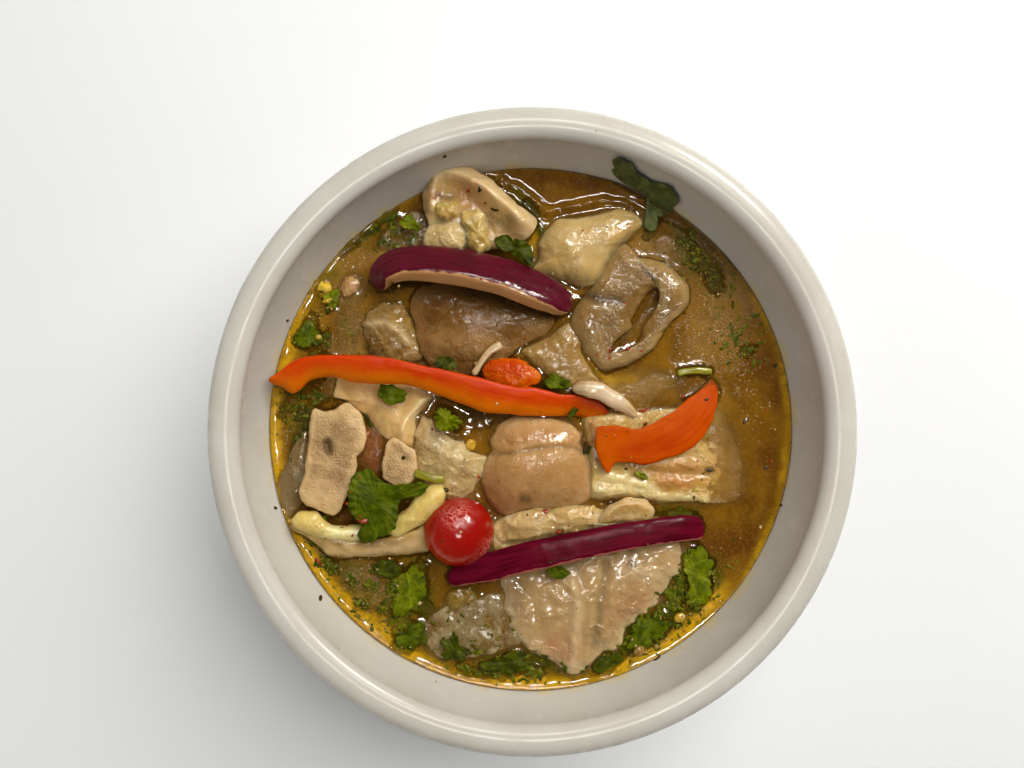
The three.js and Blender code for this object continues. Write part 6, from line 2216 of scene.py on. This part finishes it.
def bits() -> list[Bit]:
    """The seeds, chips and specks that can be told one by one in the photograph."""
    rows = (
        (SEED, -18.9, -5, 1.9, 1.7, 0.9, 60, 0.0), (SEED, 46.8, -59, 1.9, 1.5, 0.9, 30, 0.0),
        (CHILI, 35.8, 5.6, 1.9, 0.55, 0.4, 20, 0.7), (CHILI, 25.2, 25, 1.2, 0.7, 0.4, 60, 0.0),
        (CHILI, 30.5, 25, 0.8, 0.5, 0.4, 0, 0.0), (HUSK, 28.5, 31, 1.6, 0.5, 0.3, 10, 0.5),
        (HUSK, -26.7, -19.3, 1.1, 0.8, 0.5, 0, 0.0), (CHILI, -19.5, 75, 0.9, 0.4, 0.3, 40, 0.0),
        (HUSK, -15.8, 75.5, 1.0, 0.6, 0.3, 60, 0.3), (HUSK, -11.2, 69, 1.9, 0.4, 0.25, -5, 0.4),
        (CHILI, -14, 71.3, 0.8, 0.4, 0.3, 30, 0.0), (CHILI, 4.9, -25.8, 0.9, 0.7, 0.3, 0, 0.0),
        (CHILI, 9, -32.4, 1.0, 0.7, 0.3, 0, 0.0), (HUSK, -40, -9, 0.9, 0.6, 0.3, 50, 0.0),
        (SEED, 52, -19, 1.2, 0.5, 0.3, 20, 0.2), (SEED, 57, -17, 1.0, 0.5, 0.3, 70, 0.2),
        (HUSK, 56, -13, 1.2, 0.5, 0.3, -10, 0.3), (CHILI, -67, -42, 1.4, 0.7, 0.4, -50, 0.3),
        (PULP, 34, -69.5, 2.0, 1.5, 0.9, 20, 0.0), (CHILI, 13.4, 7.8, 0.9, 0.6, 0.4, 0, 0.0),
        (CHILI, -52.5, -29, 1.3, 0.9, 0.6, 10, 0.0), (CHILI, -51.3, -1.5, 1.0, 0.5, 0.3, 70, 0.0),
        (HUSK, -80.6, -25, 0.7, 0.5, 0.3, 0, 0.0), (HUSK, -66.3, -53.5, 1.1, 0.6, 0.4, 60, 0.0),
        (HUSK, -27, 86, 0.8, 0.6, 0.3, 30, 0.0), (HUSK, -76.7, 34.3, 0.6, 0.5, 0.3, 0, 0.0),
        (HUSK, 78.7, -23.9, 0.6, 0.5, 0.3, 0, 0.0), (HUSK, 40.2, -72, 2.3, 0.4, 0.4, 55, 0.8),
        (HUSK, 55.4, 9.4, 0.9, 0.5, 0.3, 0, 0.0), (HUSK, 76.8, 20, 0.8, 0.5, 0.3, 70, 0.0),
        (HUSK, 74, -12, 1.0, 0.4, 0.3, 20, 0.0), (HUSK, 67.4, 2.6, 1.1, 0.5, 0.3, 60, 0.0),
        (HUSK, 17.4, -6, 2.6, 0.7, 0.4, 80, 0.4), (HUSK, 36.4, 1.6, 0.8, 0.5, 0.4, 0, 0.0),
        (SEED, -64, 40.4, 1.6, 0.7, 0.5, 20, 0.2), (SEED, -66.8, 29, 1.1, 0.8, 0.5, 0, 0.0),
    )
    return [
        Bit(
            f"bit_{number:02d}", finish, "root_cubes",
            spot=(x, y), half=half, heading=heading, bend=bend,
        )
        for number, (finish, x, y, *half, heading, bend) in enumerate(rows)
    ]


def scatters() -> list[Scatter]:
    """The small things that lie on the food and float on the broth."""
    edges = (
        -72, 4, 6, 60, -66, -42, 5, 50, -50, -56, 8, 120, -20, -74, 10, 90, 10, -74, 8, 70,
        36, -64, 7, 110, 52, -52, 6, 90, 54, 52, 7, 120, 66, 30, 5, 60, -46, 62, 5, 60,
        -60, 34, 7, 60,
    )
    pools = (
        -57, 38, 8, 700, 62, 34, 9, 900, -52, -52, 8, 700, -72, 4, 6, 250, 54, -50, 8, 300,
        0, -74, 14, 300, 52, 54, 8, 400, 0, 0, 60, 600, -78, -16, 4, 80, 68, 6, 5, 250,
    )
    chili = (0, 0, 45, 50, 35, 6, 6, 10, 25, 25, 4, 8, -58, -28, 4, 8)
    crumbs = (0, 0, 50, 70, -54, -46, 8, 30, 40, -66, 8, 30, -60, 44, 6, 16)
    floating = dict(low=True)
    rows = (
        ("herb_flecks", ((60, 66, 2), (88, 92, 4), (124, 118, 14), (70, 56, 4)), "leaf",
            Cut.FLAKE, (0, 0, 42, 40), (0.35, 0.95), (0.7, 0.22), 11, {}),
        ("floating_flecks", ((70, 76, 2), (98, 104, 4), (134, 126, 16)), "leaf",
            Cut.FLAKE, edges, (0.4, 1.1), (0.7, 0.22), 17, floating),
        ("chopped_herbs", ((54, 62, 2), (84, 94, 4), (116, 118, 12)), "leaf",
            Cut.SHRED, edges, (0.8, 1.9), (0.5, 0.14), 12, floating),
        ("chili_flecks", ((170, 40, 8), (196, 76, 10), (140, 30, 8)), "pepper",
            Cut.FLAKE, chili, (0.3, 0.8), (0.8, 0.3), 13, {}),
        ("oil_drops", ((128, 92, 22), (150, 112, 40), (176, 138, 66)), "broth",
            Cut.DROP, pools, (0.14, 0.45), (0.95, 0.3), 14,
            dict(sink=0.35, lift=0.0, low=True, rough=0.0)),
        ("pale_crumbs", ((206, 178, 118), (176, 140, 84), (220, 200, 150)), "root_cubes",
            Cut.GRAIN, crumbs, (0.25, 0.8), (0.8, 0.6), 15, dict(sink=0.4)),
        ("brown_specks", ((70, 46, 16), (96, 64, 24), (50, 36, 12)), "skin",
            Cut.GRAIN, (0, 0, 46, 70), (0.15, 0.45), (0.8, 0.5), 16, dict(sink=0.4)),
    )
    oily = {Cut.DROP: dict(rough=0.05, shine=0.5)}
    return [
        Scatter(
            name, Crumb(name, stops, **oily.get(cut, {})), slot,
            cut=cut, patches=patches, size=size, shape=shape, seed=seed, **more,
        )
        for name, stops, slot, cut, patches, size, shape, seed, more in rows
    ]


class Use(Enum):
    """What a lamp is for: its light, or its reflection in wet things."""

    LIGHT = "light"
    GLINT = "glint"


@dataclass
class Lamp:
    """An area light at a place in metres, facing the bowl."""

    name: str
    place: Triple
    watts: float
    sides: Pair
    use: Use
    tint: Triple = (1.0, 0.965, 0.9)
    aim: Triple = (0.0, 0.0, 0.05)

    def hang(self) -> None:
        """Hangs the light."""
        lamp = bpy.data.lights.new(self.name, "AREA")
        lamp.shape = "RECTANGLE"
        lamp.energy, lamp.color = self.watts, self.tint
        lamp.size, lamp.size_y = self.sides
        hung = bpy.data.objects.new(self.name, lamp)
        hung.location = self.place
        way = Vector(self.aim) - Vector(self.place)
        hung.rotation_euler = way.to_track_quat("-Z", "Y").to_euler()
        hung.visible_glossy = self.use is Use.GLINT
        hung.visible_diffuse = self.use is Use.LIGHT
        bpy.context.scene.collection.objects.link(hung)


@dataclass
class Studio:
    """The pale floor, the lights and the camera above the bowl."""

    lamps: tuple[Lamp, ...] = (
        Lamp("key", (0.42, 0.5, 0.8), 13.0, (0.9, 0.9), Use.LIGHT),
        Lamp("window", (0.5, 0.6, 0.7), 12.0, (0.22, 0.22), Use.GLINT),
        Lamp("side", (-0.75, -0.4, 0.6), 2.4, (0.8, 0.8), Use.LIGHT),
        Lamp("tube", (0.1, 0.45, 1.0), 6.0, (0.5, 0.04), Use.GLINT),
        Lamp("bulb", (0.03, -0.1, 1.0), 2.0, (0.06, 0.06), Use.GLINT),
    )
    fill: float = 0.12
    sky: tuple[float, float, float, float] = (1.0, 0.97, 0.92, 1.0)
    floor_reach: float = 900.0
    floor_depth: float = 6.0
    camera_at: Triple = (-3.08, 14.17, 302.72)
    camera_turn: float = 0.61
    lens: float = 28.0
    sensor: float = 36.0
    nearest: float = 0.01

    def floor(self) -> None:
        """Lays the floor, a shallow sheet under the bowl's foot."""
        square = np.array([(-1, -1), (1, -1), (1, 1), (-1, 1)], float) * self.floor_reach
        top = with_heights(square, np.zeros(4))
        under = top - (0, 0, self.floor_depth)
        sides = [(i, i + 4, (i + 1) % 4 + 4, (i + 1) % 4) for i in range(4)]
        faces = np.array([(7, 6, 5, 4), (0, 1, 2, 3), *sides])
        sheet = lay_mesh("floor", np.vstack((top, under)), [faces], {})
        sheet.data.polygons.foreach_set("use_smooth", np.zeros(6, bool))
        sheet.data.materials.append(Tabletop().material())

    def camera(self) -> None:
        """Sets the camera over the bowl, as the photograph was taken."""
        lens = bpy.data.cameras.new("camera")
        lens.lens, lens.sensor_width, lens.clip_start = self.lens, self.sensor, self.nearest
        eye = bpy.data.objects.new("camera", lens)
        eye.location = Vector(self.camera_at) * METRES
        eye.rotation_euler = (0.0, np.radians(self.camera_turn), 0.0)
        bpy.context.scene.collection.objects.link(eye)
        bpy.context.scene.camera = eye

    def build(self) -> None:
        """Sets up everything that isn't part of the object."""
        self.floor()
        for lamp in self.lamps:
            lamp.hang()
        world = bpy.data.worlds.new("studio")
        world.use_nodes = True
        sky = world.node_tree.nodes["Background"].inputs
        sky["Color"].default_value, sky["Strength"].default_value = self.sky, self.fill
        bpy.context.scene.world = world
        bpy.context.scene.view_settings.view_transform = "Standard"
        self.camera()


def report(piece: bpy.types.Object) -> None:
    """Logs a finished piece."""
    LOG.info("%s: %d faces", piece.name, len(piece.data.polygons))


def main() -> None:
    """Builds the bowl, the food, the broth and the small things, in that order."""
    logging.basicConfig(level=logging.INFO, format="%(message)s")
    Studio().build()
    report(Bowl("bowl", Glaze(), "bowl_glaze").build())
    terrain = Terrain()
    for piece in FOOD:
        report(piece.build(terrain))
    for piece in sunk_things():
        report(piece.build(terrain))
    terrain.close_gaps()
    report(broth().build(terrain))
    terrain.close_gaps()
    for piece in bits():
        report(piece.build(terrain))
    for scatter in scatters():
        report(scatter.build(terrain))
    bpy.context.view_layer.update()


if __name__ == "__main__":
    main()
